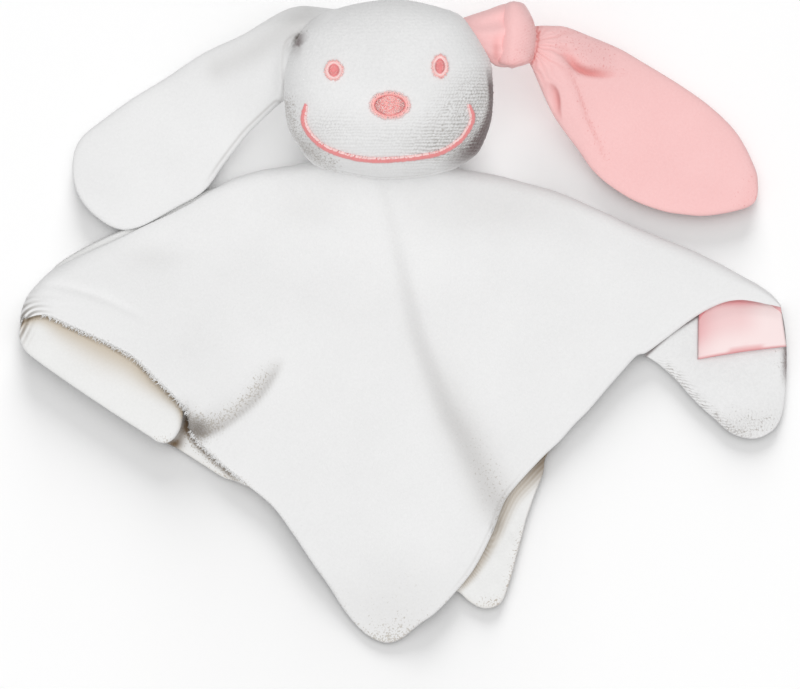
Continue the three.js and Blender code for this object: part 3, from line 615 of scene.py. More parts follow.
def add_world():
    """Light from all round that the camera sees as white."""
    world = bpy.data.worlds.new("studio")
    bpy.context.scene.world = world
    world.use_nodes = True
    tree = world.node_tree
    background = tree.nodes["Background"]
    background.inputs["Color"].default_value = WHITE
    path = add_node(tree, "ShaderNodeLightPath").outputs
    seen = path["Is Camera Ray"]
    for ray in ("Is Glossy Ray", "Is Transmission Ray"):
        seen = add_node(tree, "ShaderNodeMath", LARGER, i0=seen, i1=path[ray]).outputs[0]
    level = add_node(
        tree, "ShaderNodeMapRange", Value=seen, From_Min=0.0, From_Max=1.0, To_Min=AMBIENT, To_Max=1.0
    ).outputs[0]
    tree.links.new(level, background.inputs["Strength"])


def add_lamps(ground):
    for name, towards, strength, spread, state in LAMPS:
        lamp = bpy.data.lights.new(name, "SUN")
        lamp.energy = strength
        lamp.angle = math.radians(spread)
        thing = bpy.data.objects.new(name, lamp)
        thing.rotation_mode = "QUATERNION"
        thing.rotation_quaternion = Vector(towards).to_track_quat("-Z", "Y")
        bpy.context.scene.collection.objects.link(thing)
        lit = bpy.data.collections.new(name + "_receivers")
        lit.objects.link(ground)
        lit.collection_objects[0].light_linking.link_state = state
        thing.light_linking.receiver_collection = lit
        if "low" in name:
            thing.light_linking.blocker_collection = SHADED_BY


def add_camera():
    data = bpy.data.cameras.new("camera")
    data.sensor_width = SENSOR
    data.lens = SENSOR * CAMERA_DISTANCE / (PICTURE[0] * PIXEL)
    data.clip_end = 100
    camera = bpy.data.objects.new("camera", data)
    back = Vector((0, -math.cos(ELEVATION), math.sin(ELEVATION)))
    camera.location = AIM + back * CAMERA_DISTANCE
    camera.rotation_mode = "QUATERNION"
    camera.rotation_quaternion = (-back).to_track_quat("-Z", "Y")
    bpy.context.scene.collection.objects.link(camera)
    bpy.context.scene.camera = camera


# The knot and the root stand high: the low lamp's long shadows of them are left out
SHADED_BY = bpy.data.collections.new("throws_a_long_shadow")
add_camera()
ground = add_floor()
add_world()
add_lamps(ground)


# Upper half of the cloth, from its rolled fold edge to the front hem. From here on a spot is given in
# pixels as its middle, half width and half height, with its strength before them in a table of spots.
# A ramp gives where it starts and ends, and a window where it opens, is open, starts to close and is
# shut. Distances from a line and widths beside it are pixels as well, and heights are millimetres.

TUCK_RAMP = (16, 105)
TUCK_RIGHT_RAMP = (170, 260)
TUCK_HEIGHT = 4.6
CREASE_HEIGHT = 5.4
CREASE_FOOT_RAMP = (500, 570)
CREASE_BACK_PX = 86
CREASE_FLANK_PX = 12
CREASE_FLANK_GROWTH_PX = 20
PLEAT_RAMP = (-26, 3)
PUFF_HEIGHT = 5.0
PUFF_PX = 48
SUPPORT_RAMP = (8, 70)
NECK_HEIGHT = 10.5
NECK_SPOT = (388, 168, 84, 66)
LEFT_HOLLOW_SPOT = (165, 255, 34, 34 / 1.3)
RIGHT_SWELL = ((455, 205), (560, 235), (690, 285))
RIGHT_SWELL_PX = 42
CRINKLE_SPOT = (38, 303, 20, 20 / 1.5)


def tongue_under(across, down):
    """How much of the tucked-in corner lies under a place: 1 over it, 0 beyond it."""
    inside = beside(across, down, TUCK_HEM)[0]
    return (1 - smoothstep(-inside, *TUCK_RAMP)) * (1 - smoothstep(across, *TUCK_RIGHT_RAMP))


def crease_rise(across, down):
    """The ridge that runs from the neck to the front corner, steep on its right."""
    crease, share = beside(across, down, CREASE)
    tall = CREASE_HEIGHT * (0.3 + 0.7 * smoothstep(share, 0.09, 0.6))
    tall *= (1 - 0.4 * smoothstep(share, 0.65, 0.95)) * (1 - smoothstep(down, *CREASE_FOOT_RAMP))
    flank = CREASE_FLANK_PX + CREASE_FLANK_GROWTH_PX * share
    return tall * np.where(crease > 0, bump(crease, CREASE_BACK_PX), 1 - smoothstep(-crease, -2, flank))


def pleat_rise(across, down):
    """The lobe of cloth that stands over the tucked-in corner and ends at the pleat's line."""
    pleat, share = beside(across, down, PLEAT)
    reach = 1 - smoothstep(share, 0.72, 1.0)
    lobe = PUFF_HEIGHT * bump(beside(across, down, PUFF)[0], PUFF_PX)
    lobe += TUCK_HEIGHT * tongue_under(across, down)
    return lobe * (1 - reach * smoothstep(pleat, *PLEAT_RAMP))


def cloth_height(across, down):
    """Height of the upper half's face over the table, in millimetres, away from its edges."""
    rest = beside(across, down, SUPPORT_LINE)[0]
    height = SHEET + LAYER * (1 - smoothstep(rest, *SUPPORT_RAMP))
    height += NECK_HEIGHT * spot(across, down, NECK_SPOT)
    height += crease_rise(across, down) + pleat_rise(across, down)
    line, share = beside(across, down, LEFT_CREASE)
    height -= 0.9 * bump(line, 4.5) * arch(share)
    height -= 1.6 * spot(across, down, LEFT_HOLLOW_SPOT)
    height += 1.5 * bump(beside(across, down, RIGHT_SWELL)[0], RIGHT_SWELL_PX)
    height += 0.35 * spot(across, down, CRINKLE_SPOT) * ripple(across * 0.25, down, 9, 6)
    return height + 0.6 * ripple(across, down, 150, 3) + 0.05 * ripple(across, down, 34, 5)


# Of the grid's rows, the first ones go round the roll. The left part of the roll's underside lies a
# layer higher, on the lower half, and a groove runs beside the hem on the right.
FRONT_HEM = [pair[2:] for pair in CLOTH_COLUMNS]
UPPER_COLUMNS, UPPER_ROWS, ROLL_ROWS = 270, 150, 14
RAISED_ROLL_WINDOW = (60, 85, 185, 225)
GROOVE_PX = 7
GROOVE_RAMP = (480, 600)
LEAST_HEIGHT = 0.4
UNDERSIDE = 0.3

# Spots of painted shade: the head's shadow on the right part and two dimples on the left
UPPER_PAINTED_SHADE_SPOTS = ((0.1, 480, 212, 80, 24), (0.08, 155, 258, 32, 12), (0.06, 310, 212, 34, 16))
FRONT_TIP_SPOT = (388, 612, 60, 46)
FRONT_TIP_LOOPS = (392, 638, 38, 15)
WRINKLED_SPOT = (27, 315, 15, 15)
WRINKLE_PX = 5
PLEAT_HOLE_SPOT = (197, 430, 12, 14)
PLEAT_HOLE_LOOPS = (197, 428, 15, 16)
LIP_WINDOW = (440, 470, 505, 530)
FRONT_HEM_WINDOW = (183, 190, 500, 530)
TUCK_HEM_WINDOW = (55, 90, 250, 260)


def shade_upper(piece, across, down, to_hem):
    """Painted shade in the folds, along the crease's flank, in the pleat's pocket, in the wrinkles and in
    soft dimples, and the terry loops that show at the hems.
    """
    pleat, along = beside(across, down, PLEAT)
    pocket = bump(np.minimum(pleat + 2, 0), 15) * bump(np.maximum(pleat + 2, 0), 4)
    pocket *= 1 - smoothstep(along, 0.0, 0.45)
    pleat_line = 0.3 * bump(pleat - 1.5, 3) + 0.26 * bump(pleat + 3, 7)
    pleat_line *= window(along, (0.1, 0.28, 0.78, 1.0))
    crease, down_it = beside(across, down, CREASE)
    band = bump(crease + 4 + 14 * down_it, 5 + 15 * down_it) * (0.02 + 0.14 * down_it)
    band += 0.15 * bump(crease + 20, 20) * smoothstep(down_it, 0.4, 0.8)
    wrinkles = beside(across, down, LEFT_WRINKLES)[0]
    furrows = spot(across, down, WRINKLED_SPOT)
    furrows *= np.clip(0.5 - 0.7 * np.cos(wrinkles * math.tau / WRINKLE_PX), 0, 1)
    tip = 0.1 * spot(across, down, FRONT_TIP_SPOT)
    lip_line = 0.14 * bump(to_hem - HEM_PX, 1.2) * window(across, LIP_WINDOW)
    painted_shade_spots = spots(across, down, UPPER_PAINTED_SHADE_SPOTS)
    give_shade(piece, 0.7 * pocket + pleat_line + band + 0.8 * furrows + tip + painted_shade_spots + lip_line)
    hole = np.clip(1.4 * spot(across, down, PLEAT_HOLE_SPOT) - 0.25, 0, 1)
    give_shade(piece, 0.55 * hole + 0.5 * furrows * bump(across - 20, 8), "painted_deep_shade")
    loops = 0.9 * spot(across, down, PLEAT_HOLE_LOOPS) + 0.7 * spot(across, down, FRONT_TIP_LOOPS) + tip
    loops += 0.75 * bump(pleat + 6, 8) * (1 - smoothstep(along, 0.7, 1.0))
    loops += 0.35 * bump(to_hem, 3) * window(across, FRONT_HEM_WINDOW)
    loops += 0.35 * bump(to_hem - 1, 3.5) * window(across, TUCK_HEM_WINDOW)
    loops += 0.3 * bump(crease + 22, 14) * smoothstep(down_it, 0.6, 0.95)
    give_shade(piece, loops, "speck")


def upper_cloth():
    """The upper half: each column of the grid runs from under the fold edge over it to the hem."""
    mesh, share, run = flat_grid(UPPER_COLUMNS, UPPER_ROWS)
    pairs = sample(smooth_path(CLOTH_COLUMNS, 600, 12), share)
    edge, front = pairs[:, :2], pairs[:, 2:]
    span = front - edge
    length = np.maximum(np.linalg.norm(span, axis=1), 1e-6)
    row = run * UPPER_ROWS
    on_face_rows = row > ROLL_ROWS
    radius = np.minimum(FOLD_RADIUS_PX, length / 2.5)
    angle = np.clip(row / ROLL_ROWS, 0, 1) * math.pi - math.pi / 2
    beyond = np.clip((row - ROLL_ROWS) / (UPPER_ROWS - ROLL_ROWS), 0, 1)
    flat_run = radius + (length - radius) * (1 - (1 - beyond) ** 1.6)
    from_edge = np.where(on_face_rows, flat_run, radius * (1 - np.cos(angle)))
    place = edge + span * (from_edge / length)[:, None]
    across, down = place[:, 0], place[:, 1]
    top = cloth_height(across, down)
    bottom = LAYER * window(edge[:, 0], RAISED_ROLL_WINDOW)
    middle = bottom + (top - bottom) * 0.5
    height = np.where(on_face_rows, top, middle + (top - middle) * np.sin(angle))
    to_hem = np.abs(beside(across, down, FRONT_HEM, 300)[0])
    to_hem = np.where(row > UPPER_ROWS - 0.5, 0, to_hem)
    lip = rounded(to_hem / HEM_PX) * on_face_rows
    height -= np.minimum(1.7, top / 2) * smoothstep(length, 4, 50) * lip
    groove = bump(to_hem - GROOVE_PX, 1.6) * on_face_rows * smoothstep(length, 20, 40)
    height -= 0.12 * groove * smoothstep(across, *GROOVE_RAMP)
    height = np.maximum(height, LEAST_HEIGHT)
    place_points(mesh, from_picture(across, down, height))
    bmesh.ops.reverse_faces(mesh, faces=mesh.faces[:])
    piece = add_piece("cloth_upper_half", mesh, white_velour)
    shade_upper(piece, across, down, to_hem)
    over_tongue = tongue_under(across, down)
    full = (height - UNDERSIDE) / SHEET * (1 - over_tongue) + over_tongue
    full *= 0.35 + 0.65 * smoothstep(to_hem, 2, 12)
    full = np.minimum(full, 0.25 * length * PIXEL / MM / SHEET)
    slim = np.minimum(0.42 * (top - bottom) / SHEET, full)
    return solid_sheet(piece, shares=slim + (full - slim) * smoothstep(from_edge - radius, 0, 25))


cloth_upper = upper_cloth()
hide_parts("cloth_velour_ply", "front_corner_velour_ply", "front_corner_terry_ply")
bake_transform(cloth_upper)


# Lower half of the cloth, lying on the table. Its painted shades are the crevice under the left
# part of the front hem, the nook beside the tucked-in corner, and the shadow band under the
# hem's right part.

CREVICE_HEM = FRONT_HEM[12:19]
BACK_HEM = FRONT_HEM[30:37]
BACK_CORNER_SPOT = (500, 560, 62, 62)
BACK_CORNER_EDGE = ((523, 530), (516, 560), (508, 590))
LOWER_LOOPS = ((1, 493, 603, 15, 8), (1, 170, 442, 12, 6))
NOOK_SPOT = (172, 444, 9, 6)
GAP_SPOT = (184, 428, 6, 18)
GAP_LEAN = 0.35
LOWER_THICKNESS = SHEET - 0.4


def shade_lower(piece, across, down, to_hem):
    left_hem, along = beside(across, down, CREVICE_HEM)
    crevice = bump(left_hem - 1.5, 2.8) * window(along, (0.0, 0.1, 0.8, 1.0))
    back_hem, along = beside(across, down, BACK_HEM)
    width = 5 + 17 * along
    under = (1 - smoothstep(back_hem, 0.2 * width, 1.2 * width)) * smoothstep(back_hem, -8, -3)
    under *= window(along, (0.0, 0.1, 0.97, 1.0))
    streaks = 0.8 + 0.2 * np.cos(back_hem * math.tau / 3.5 + 2 * ripple(across, down, 40, 12))
    give_shade(piece, 0.7 * under * streaks + 0.12 * bump(to_hem, 5))
    leaning = across + GAP_LEAN * (down - GAP_SPOT[1])
    nook = 0.85 * spot(across, down, NOOK_SPOT) + 0.8 * spot(leaning, down, GAP_SPOT)
    dark_end = under * (0.3 * streaks + 0.6 * smoothstep(along, 0.65, 0.9))
    give_shade(piece, 0.62 * crevice + nook + dark_end, "painted_deep_shade")
    specks = bump(beside(across, down, BACK_CORNER_EDGE)[0], 5) + spots(across, down, LOWER_LOOPS)
    give_shade(piece, 0.7 * specks + 0.5 * bump(left_hem - 4, 6) + 0.4 * crevice, "speck")


def lower_cloth():
    mesh, share, run = flat_grid(420, 110)
    edge, hem = sample(smooth_path(LOWER_FOLD_EDGE), share), sample(smooth_path(LOWER_HEM), share)
    place = edge + (hem - edge) * (1 - (1 - run) ** 1.5)[:, None]
    across, down = place[:, 0], place[:, 1]
    to_hem = np.linalg.norm(hem - place, axis=1)
    to_edge = np.linalg.norm(place - edge, axis=1)
    top = SHEET + 0.5 * spot(across, down, BACK_CORNER_SPOT) * ripple(across, down, 24, 9)
    height = top - 1.5 * rounded(np.minimum(to_hem, to_edge) / HEM_PX)
    place_points(mesh, from_picture(across, down, height))
    bmesh.ops.reverse_faces(mesh, faces=mesh.faces[:])
    piece = add_piece("cloth_lower_half", mesh, cream_velour, "cloth")
    shade_lower(piece, across, down, to_hem)
    return solid_sheet(piece, LOWER_THICKNESS, (height - UNDERSIDE) / LOWER_THICKNESS)


cloth_lower = lower_cloth()
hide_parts("cloth_terry_ply")


# Filled pieces with two faces: the tucked-in and the turned-under corner, the ears and the knot

def pillow(name, first_edge, second_edge, columns, rows, faces, material, body=None):
    """A closed soft body between two edges. faces gives the heights of its upper and lower face
    for pixels, the share along the edges and the share across, from -1 to 1."""
    sides = []
    first, second = smooth_path(first_edge), smooth_path(second_edge)
    for which in (0, 1):
        mesh, share, run = flat_grid(columns, rows)
        across_it = np.sin((run - 0.5) * math.pi)
        start, end = sample(first, share), sample(second, share)
        place = start + (end - start) * ((across_it + 1) / 2)[:, None]
        height = faces(place[:, 0], place[:, 1], share, across_it)[which]
        place_points(mesh, from_picture(place[:, 0], place[:, 1], height))
        sides.append(mesh)
    mesh = join_faces(*sides)
    bmesh.ops.recalc_face_normals(mesh, faces=mesh.faces[:])
    return add_piece(name, mesh, material, body)


def swell(share_across, power=2.6):
    """The rounded section of a filled piece: 1 in the middle and 0 at its edges."""
    return (1 - np.clip(np.abs(share_across), 0, 1) ** power) ** (1 / power)


# Left corner, tucked in between the halves, with its soft rolled edge showing. The warm shadow
# that the hem over it throws is painted on it, with a dark line right under the hem, and painted
# shade lies in the wrinkles at its left end and beside its right end.

TONGUE_LEVEL = LAYER + 3.2
TONGUE_HALF = 3.4
TONGUE_LEFT_SPOT = (20, 326, 9, 14)
TONGUE_RIGHT_SPOT = (187, 415, 6, 14)
TONGUE_LOOPS = (166, 441, 14, 6)


def tongue_faces(across, down, share, side):
    curve = swell(side)
    full = TONGUE_HALF * curve * (0.4 + 0.6 * swell(2 * share - 1, 4))
    return TONGUE_LEVEL + full + 0.25 * ripple(across, down, 60, 21) * curve, TONGUE_LEVEL - full


def shade_tongue(piece):
    across, down = picture_of(piece)
    under_hem, along = beside(across, down, TUCK_HEM)
    shadow_width = 5 + 14 * arch(along) ** 1.5
    left_end = spot(across, down, TONGUE_LEFT_SPOT)
    left_end *= np.clip(0.6 - 0.6 * np.cos((across + 0.5 * down) * math.tau / 6), 0, 1)
    right_end = spot(across, down, TONGUE_RIGHT_SPOT)
    give_shade(piece, 0.85 * bump(np.maximum(under_hem - 1, 0), shadow_width) + right_end)
    give_shade(piece, 0.6 * bump(under_hem - 1.5, 1.6) + 0.9 * left_end + 0.35 * right_end, "painted_deep_shade")
    give_shade(piece, 0.5 * spot(across, down, TONGUE_LOOPS) + 0.3 * bump(under_hem - 3, 3), "speck")


tongue = pillow(
    "left_corner_tongue", TONGUE_INNER, TONGUE_OUTER, 120, 40, tongue_faces, cream_velour, "cloth"
)
shade_tongue(tongue)
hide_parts("left_corner_velour_ply", "left_corner_terry_ply")


# Loose pile that sticks out over the hem there

FIBRE_THICKNESS = 0.4 * MM
FIBRE_LINES = ((TUCK_HEM[3:], 360), (((190, 432), (199, 444.5), (215, 459), (244, 483)), 150))


def hem_fibres():
    spindle = bmesh.new()
    bmesh.ops.create_cone(spindle, cap_ends=False, segments=4, radius1=0.5, radius2=0.1, depth=1.0)
    bmesh.ops.rotate(spindle, verts=spindle.verts[:], matrix=Matrix.Rotation(math.pi / 2, 3, "Y"))
    matrices = []
    for points, count in FIBRE_LINES:
        line = smooth_path(points, count)
        way = directions(line)
        out = np.stack([-way[:, 1], way[:, 0]], axis=-1)
        start = line - out * rng.uniform(-0.5, 3.5, (count, 1)) + way * rng.uniform(-2, 2, (count, 1))
        end = start + out * rng.uniform(2.0, 4.5, (count, 1)) + way * rng.uniform(-3, 3, (count, 1))
        level = cloth_height(start[:, 0], start[:, 1]) - 0.3
        first = from_picture(start[:, 0], start[:, 1], level)
        last = from_picture(end[:, 0], end[:, 1], level + rng.uniform(-0.4, 0.5, count))
        for a, b in zip(first, last):
            size = (float(np.linalg.norm(b - a)), FIBRE_THICKNESS, FIBRE_THICKNESS)
            matrices.append(facing((a + b) / 2, b - a, (0, 0, 1), size))
    return add_piece("hem_loose_pile", scatter(spindle, matrices), white_velour, "cloth")


hem_fibres()


# Right corner, turned under, terry side up. Short slanting strokes of pile stand along its left
# edge and upright ones at its tip. Painted shade darkens its right edge and the line under the hem.

FLAP_LEVEL = 2.2
FLAP_HALF = 2.0
FLAP_TIP_SPOT = (752, 424, 30, 14)
FLAP_HEM = ((643, 356), (670, 332), (700, 313))
FLAP_STROKE_PX = 5.0
FLAP_FIBRE_PX = 3.2


def flap_faces(across, down, share, side):
    full = FLAP_HALF * swell(side, 3.2) * (0.35 + 0.65 * swell(2 * share - 1, 5))
    top = FLAP_LEVEL + full + 0.3 * ripple(across, down, 40, 31) * np.abs(1 - np.abs(side))
    return top, FLAP_LEVEL - full


def shade_flap(piece):
    across, down = picture_of(piece)
    gap, along = beside(across, down, FLAP_OUTER, 120)
    gap = np.abs(gap)
    grain = rng.uniform(0, 1, len(gap))
    left = window(along, (0.03, 0.12, 0.42, 0.52))
    right = smoothstep(along, 0.7, 0.8)
    tip = spot(across, down, FLAP_TIP_SPOT)
    waver = 1.6 * ripple(across, down, 15, 33) + 0.8 * ripple(across, down, 6, 34)
    strokes = np.clip(np.cos((along * 300 - 1.5 * gap + waver) * math.tau / FLAP_STROKE_PX), 0, 1) ** 1.3
    strokes *= bump(gap - 4, 5) * (0.6 + 0.4 * ripple(across, down, 9, 35)) * left
    fibres = np.clip(np.cos((across + 2 * ripple(across, down, 12, 36)) * math.tau / FLAP_FIBRE_PX), 0, 1)
    give_shade(piece, 0.75 * strokes + (0.05 + 0.2 * fibres) * tip)
    give_shade(piece, 0.5 * tip + 0.35 * bump(gap, 7) * left + 0.4 * right * bump(gap, 12), "speck")
    dark_edge = 1.1 * right * bump(gap, 4) * (0.4 + 0.6 * grain)
    under_hem = 0.75 * bump(beside(across, down, FLAP_HEM)[0] - 1.5, 1.8)
    give_shade(piece, dark_edge + 0.45 * bump(gap - 2, 3) * strokes + under_hem, "painted_deep_shade")


flap = pillow(
    "right_corner_flap", FLAP_INNER, FLAP_OUTER, 240, 120, flap_faces, white_terry, "right_corner"
)
shade_flap(flap)
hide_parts("right_corner_velour_ply", "right_corner_terry_ply")


# Label: a bare satin ribbon, folded at its left end. Painted shade darkens it under the hem,
# towards its top, at its fold, in the narrow lens below, where its second layer shows, and over
# its underside.

LABEL_LEVEL = 4.5
LABEL_TURN_SHARE = 0.035
LABEL_THICKNESS = 0.25
LABEL_HEM_ROW = 300
LABEL_HEM_WINDOW = (704, 720, 758, 770)
LABEL_FOLD_COLUMN = 696
LABEL_LENS_COLUMN = 746
LABEL_RIGHT_RAMP = (738, 768)


def label_ribbon():
    """The ribbon runs out from its sewn end, turns round at the fold and comes back underneath."""
    mesh, along, side = flat_grid(90, 16)
    above = along < 0.5
    out = np.where(above, along, 1 - along) * 2
    first, second = sample(smooth_path(LABEL_TOP), out), sample(smooth_path(LABEL_BOTTOM), out)
    place = first + (second - first) * side[:, None]
    across, down = place[:, 0], place[:, 1]
    near_fold = np.clip((1 - out) / (2 * LABEL_TURN_SHARE), 0, 1)
    loft = (0.35 + 1.5 * arch(out) ** 0.8) * np.sqrt(1 - (1 - near_fold) ** 2)
    loft = np.where(above, loft, -0.25 * loft)
    height = LABEL_LEVEL + (loft + 0.4 + 0.3 * (1 - out)) * (0.15 + 0.85 * smoothstep(side, 0.05, 0.4))
    place_points(mesh, from_picture(across, down, height))
    piece = add_piece("label_ribbon_loop", mesh, satin, "label")
    lens = 1 - smoothstep((1 - side) * 48 - 5.5 * bump(across - LABEL_LENS_COLUMN, 22), -0.8, 0.8)
    shade = 0.06 + 0.6 * bump(down - LABEL_HEM_ROW, 5) * window(across, LABEL_HEM_WINDOW) + 0.5 * lens
    shade += 0.3 * bump(across - LABEL_FOLD_COLUMN, 15) * (1 - 0.5 * smoothstep(side, 0.5, 1.0))
    shade += 0.3 * (1 - smoothstep(side, 0.4, 0.9)) * (1 - smoothstep(across, *LABEL_RIGHT_RAMP))
    give_shade(piece, shade + 0.35 * bump(side - 1, 0.03) + 0.6 * (along > 0.5))
    return solid_sheet(piece, LABEL_THICKNESS)


label = label_ribbon()
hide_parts("label_ribbon")


# Head

def head_plan():
    """The head's outline at its widest level, as its middle and its radius for each direction."""
    ring = smooth_path((*HEAD_OUTLINE, HEAD_OUTLINE[0]), 360)
    places = from_picture(ring[:, 0], ring[:, 1], HEAD_LEVEL)[:, :2]
    middle = from_picture(*HEAD_MIDDLE_PX, HEAD_LEVEL)[:2]
    offset = places - middle
    angle = np.arctan2(offset[:, 1], offset[:, 0])
    order = np.argsort(angle)
    return middle, angle[order], np.linalg.norm(offset, axis=1)[order]


HEAD_MIDDLE, HEAD_ANGLES, HEAD_RADII = head_plan()


def head_radius(angle):
    return np.interp(angle, HEAD_ANGLES, HEAD_RADII, period=math.tau)


def head_rise(share):
    """Height of the head's cover above its widest level, at a share of the way out from its middle."""
    return HEAD_HALF * (1 - np.clip(share, 0, 1) ** HEAD_POWER) ** (1 / HEAD_POWER)


def head_top(place):
    """Height of the face over places in plan, in millimetres."""
    offset = np.asarray(place) - HEAD_MIDDLE
    out = np.linalg.norm(offset, axis=-1)
    return HEAD_LEVEL + head_rise(out / head_radius(np.arctan2(offset[..., 1], offset[..., 0])))


def on_face(across, down, lift=0.0):
    """The point of the face that the photograph shows at a pixel, and the face's normal there."""
    height = np.full(np.shape(across), HEAD_LEVEL + HEAD_HALF)
    for _ in range(12):
        height = 0.5 * height + 0.5 * head_top(from_picture(across, down, height)[..., :2])
    point = from_picture(across, down, height)
    small = 0.5 * MM
    slopes = []
    for step in ([small, 0], [0, small]):
        rise = head_top(point[..., :2] + step) - head_top(point[..., :2] - step)
        slopes.append(-rise * MM / small / 2)
    normal = np.stack([*slopes, np.ones_like(height)], axis=-1)
    normal /= np.linalg.norm(normal, axis=-1, keepdims=True)
    return point + normal * lift * MM, normal


def head_shell(side, columns, rows):
    """Half of the head's cover on a grid that keeps the knitted rows level, and each point's share of
    the way out to the seam."""
    mesh, across, along = flat_grid(columns, rows)
    u, v = 2 * across - 1, 2 * along - 1
    disc = np.stack([u * np.sqrt(1 - v * v / 2), v * np.sqrt(1 - u * u / 2)], axis=-1)
    far = np.clip(np.linalg.norm(disc, axis=1), 0, 1)
    angle = np.arctan2(disc[:, 1], disc[:, 0])
    share = np.sin(far * math.pi / 2)
    out = head_radius(angle) * share
    x = HEAD_MIDDLE[0] + out * np.cos(angle)
    y = HEAD_MIDDLE[1] + out * np.sin(angle)
    z = HEAD_LEVEL + side * head_rise(share)
    place_points(mesh, np.stack([x, y, np.maximum(z, UNDERSIDE) * MM], axis=-1))
    if side < 0:
        bmesh.ops.reverse_faces(mesh, faces=mesh.faces[:])
        mesh.normal_update()
    return mesh, far


# The terry's rows and loops open towards the lower right, and its pile is rough along the left jaw.
# Painted shade darkens the right jaw, a soft spot by the left jaw, and the hollow under the white
# ear's root beside the head.
ROW_PX = 3.3
LOOP_PX = 2.9
LEFT_JAW = ((286, 104), (293, 130), (306, 150), (330, 165))
RIGHT_JAW = (
    (487, 66), (491, 85), (492.5, 105), (489, 126), (481, 146), (469, 158), (455, 166), (438, 171),
)
JAW_WIDTHS = ((0, 0.35, 0.6, 0.8, 1), (1.5, 4.5, 11, 12, 6))
JAW_DEPTHS = ((0, 0.15, 0.68, 0.85, 1), (0, 1, 1, 0.4, 0))
CLEAR_RAMP = (420, 490)
CLEAR_ROW = 90
BROW_RAMP = (50, 100)
CHIN_RAMP = (155, 167)
CHIN_END_RAMP = (462, 480)
CLEAR_SPOTS = ((0.35, 325, 128, 28, 18), (0.3, 405, 138, 55, 22))
LEFT_CHEEK_SHADE_SPOT = (310, 150, 18, 12)
RIGHT_FACE_RAMP = (380, 440)
HOLLOW = (301, 39)
HOLLOW_SIZE = (9.5, 5.5)
HOLLOW_WAY = (0.75, -0.66)
HOLLOW_FOOT_SPOT = (295, 46, 9, 9)
HOLLOW_HEAD_RAMP = (298, 306)


def ear_hollow(across, down):
    """How much painted shade a place takes in the hollow under the white ear's root, from 0 to 1;
    the ear's face also dips by it.
    """
    x, y = across - HOLLOW[0], down - HOLLOW[1]
    along = HOLLOW_WAY[0] * x + HOLLOW_WAY[1] * y
    aside = -HOLLOW_WAY[1] * x + HOLLOW_WAY[0] * y
    far = np.hypot(along / HOLLOW_SIZE[0], aside / HOLLOW_SIZE[1]) + 0.15 * ripple(across, down, 4, 84)
    return np.clip(1 - smoothstep(far, 0.5, 1.25) + 0.4 * spot(across, down, HOLLOW_FOOT_SPOT), 0, 1)


def jaw_shade(across, down, uneven):
    """The painted shade along the head's lower right edge."""
    edge, along = beside(across, down, RIGHT_JAW)
    width = np.interp(along, *JAW_WIDTHS) * (1 + uneven)
    return 0.9 * (1 - smoothstep(edge, 0.8 * width, width + 0.8)) * np.interp(along, *JAW_DEPTHS)


def head_front():
    mesh, far = head_shell(1, 260, 224)
    across, down = to_picture(np.array([vert.co for vert in mesh.verts]))
    row = (down + 0.9 * ripple(across, down, 24, 81)) / ROW_PX
    lines = np.cos(math.tau * row)
    shift = 0.3 * ripple(across, down, 14, 82) + 0.5 * (np.round(row) % 2)
    loops = np.cos(math.tau * (across / LOOP_PX + shift))
    grain = rng.uniform(-1, 1, len(far))
    clear = smoothstep(across + 0.55 * (down - CLEAR_ROW), *CLEAR_RAMP)
    clear *= 0.15 + 0.85 * smoothstep(down, *BROW_RAMP)
    clear *= 1 - 0.75 * smoothstep(down, *CHIN_RAMP) * (1 - smoothstep(across, *CHIN_END_RAMP))
    clear += spots(across, down, CLEAR_SPOTS)
    rough = 0.8 * bump(beside(across, down, LEFT_JAW)[0], 10)
    relief = (0.17 * lines + 0.12 * loops) * (0.2 + 0.8 * clear) + 0.12 * grain * (0.6 + 0.8 * rough)
    push_out(mesh, relief * (1 - smoothstep(far, 0.985, 1.0)))
    piece = add_piece("head_face_cover", mesh, white_terry, "head")
    gaps = clear * np.clip(0.25 - 0.45 * lines - 0.4 * loops + 0.35 * grain, 0, 1)
    give_shade(piece, 0.85 * gaps + 0.28 * spot(across, down, LEFT_CHEEK_SHADE_SPOT))
    both = np.clip(clear + rough, 0, 1)
    give_shade(piece, 1.1 * rough + 0.3 * both * smoothstep(across, *RIGHT_FACE_RAMP), "speck")
    under_ear = 0.95 * ear_hollow(across, down) * (0.9 + 0.1 * grain)
    under_ear *= 1 - 0.75 * smoothstep(across, *HOLLOW_HEAD_RAMP)
    jaw = jaw_shade(across, down, 0.4 * lines + 0.25 * loops + 0.1 * grain)
    give_shade(piece, np.maximum(jaw, under_ear), "painted_deep_shade")
    return piece


def head_back():
    mesh, far = head_shell(-1, 130, 112)
    push_out(mesh, rng.uniform(-0.14, 0.14, len(far)) * (1 - smoothstep(far, 0.95, 1.0)))
    piece = add_piece("head_back_cover", mesh, white_terry, "head")
    # Slightly darker towards the seam; the right jaw's painted shade runs along its rim
    give_shade(piece, 0.2 * smoothstep(far, 0.97, 1.0))
    across, down = picture_of(piece)
    give_shade(piece, 0.3 + 0.4 * bump(beside(across, down, LEFT_JAW)[0], 14), "speck")
    give_shade(piece, jaw_shade(across, down, 0.0) * bump(far - 1, 0.12), "painted_deep_shade")
    return piece


face = head_front()
nape = head_back()
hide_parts("head_face_panel", "head_stuffing")
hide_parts("head_back_panel")


# Embroidery: every thread is a slim rounded body lying on the face

def thread_shape():
    shape = bmesh.new()
    bmesh.ops.create_uvsphere(shape, u_segments=8, v_segments=6, radius=0.5)
    bmesh.ops.rotate(shape, verts=shape.verts[:], matrix=Matrix.Rotation(math.pi / 2, 3, "Y"))
    return shape


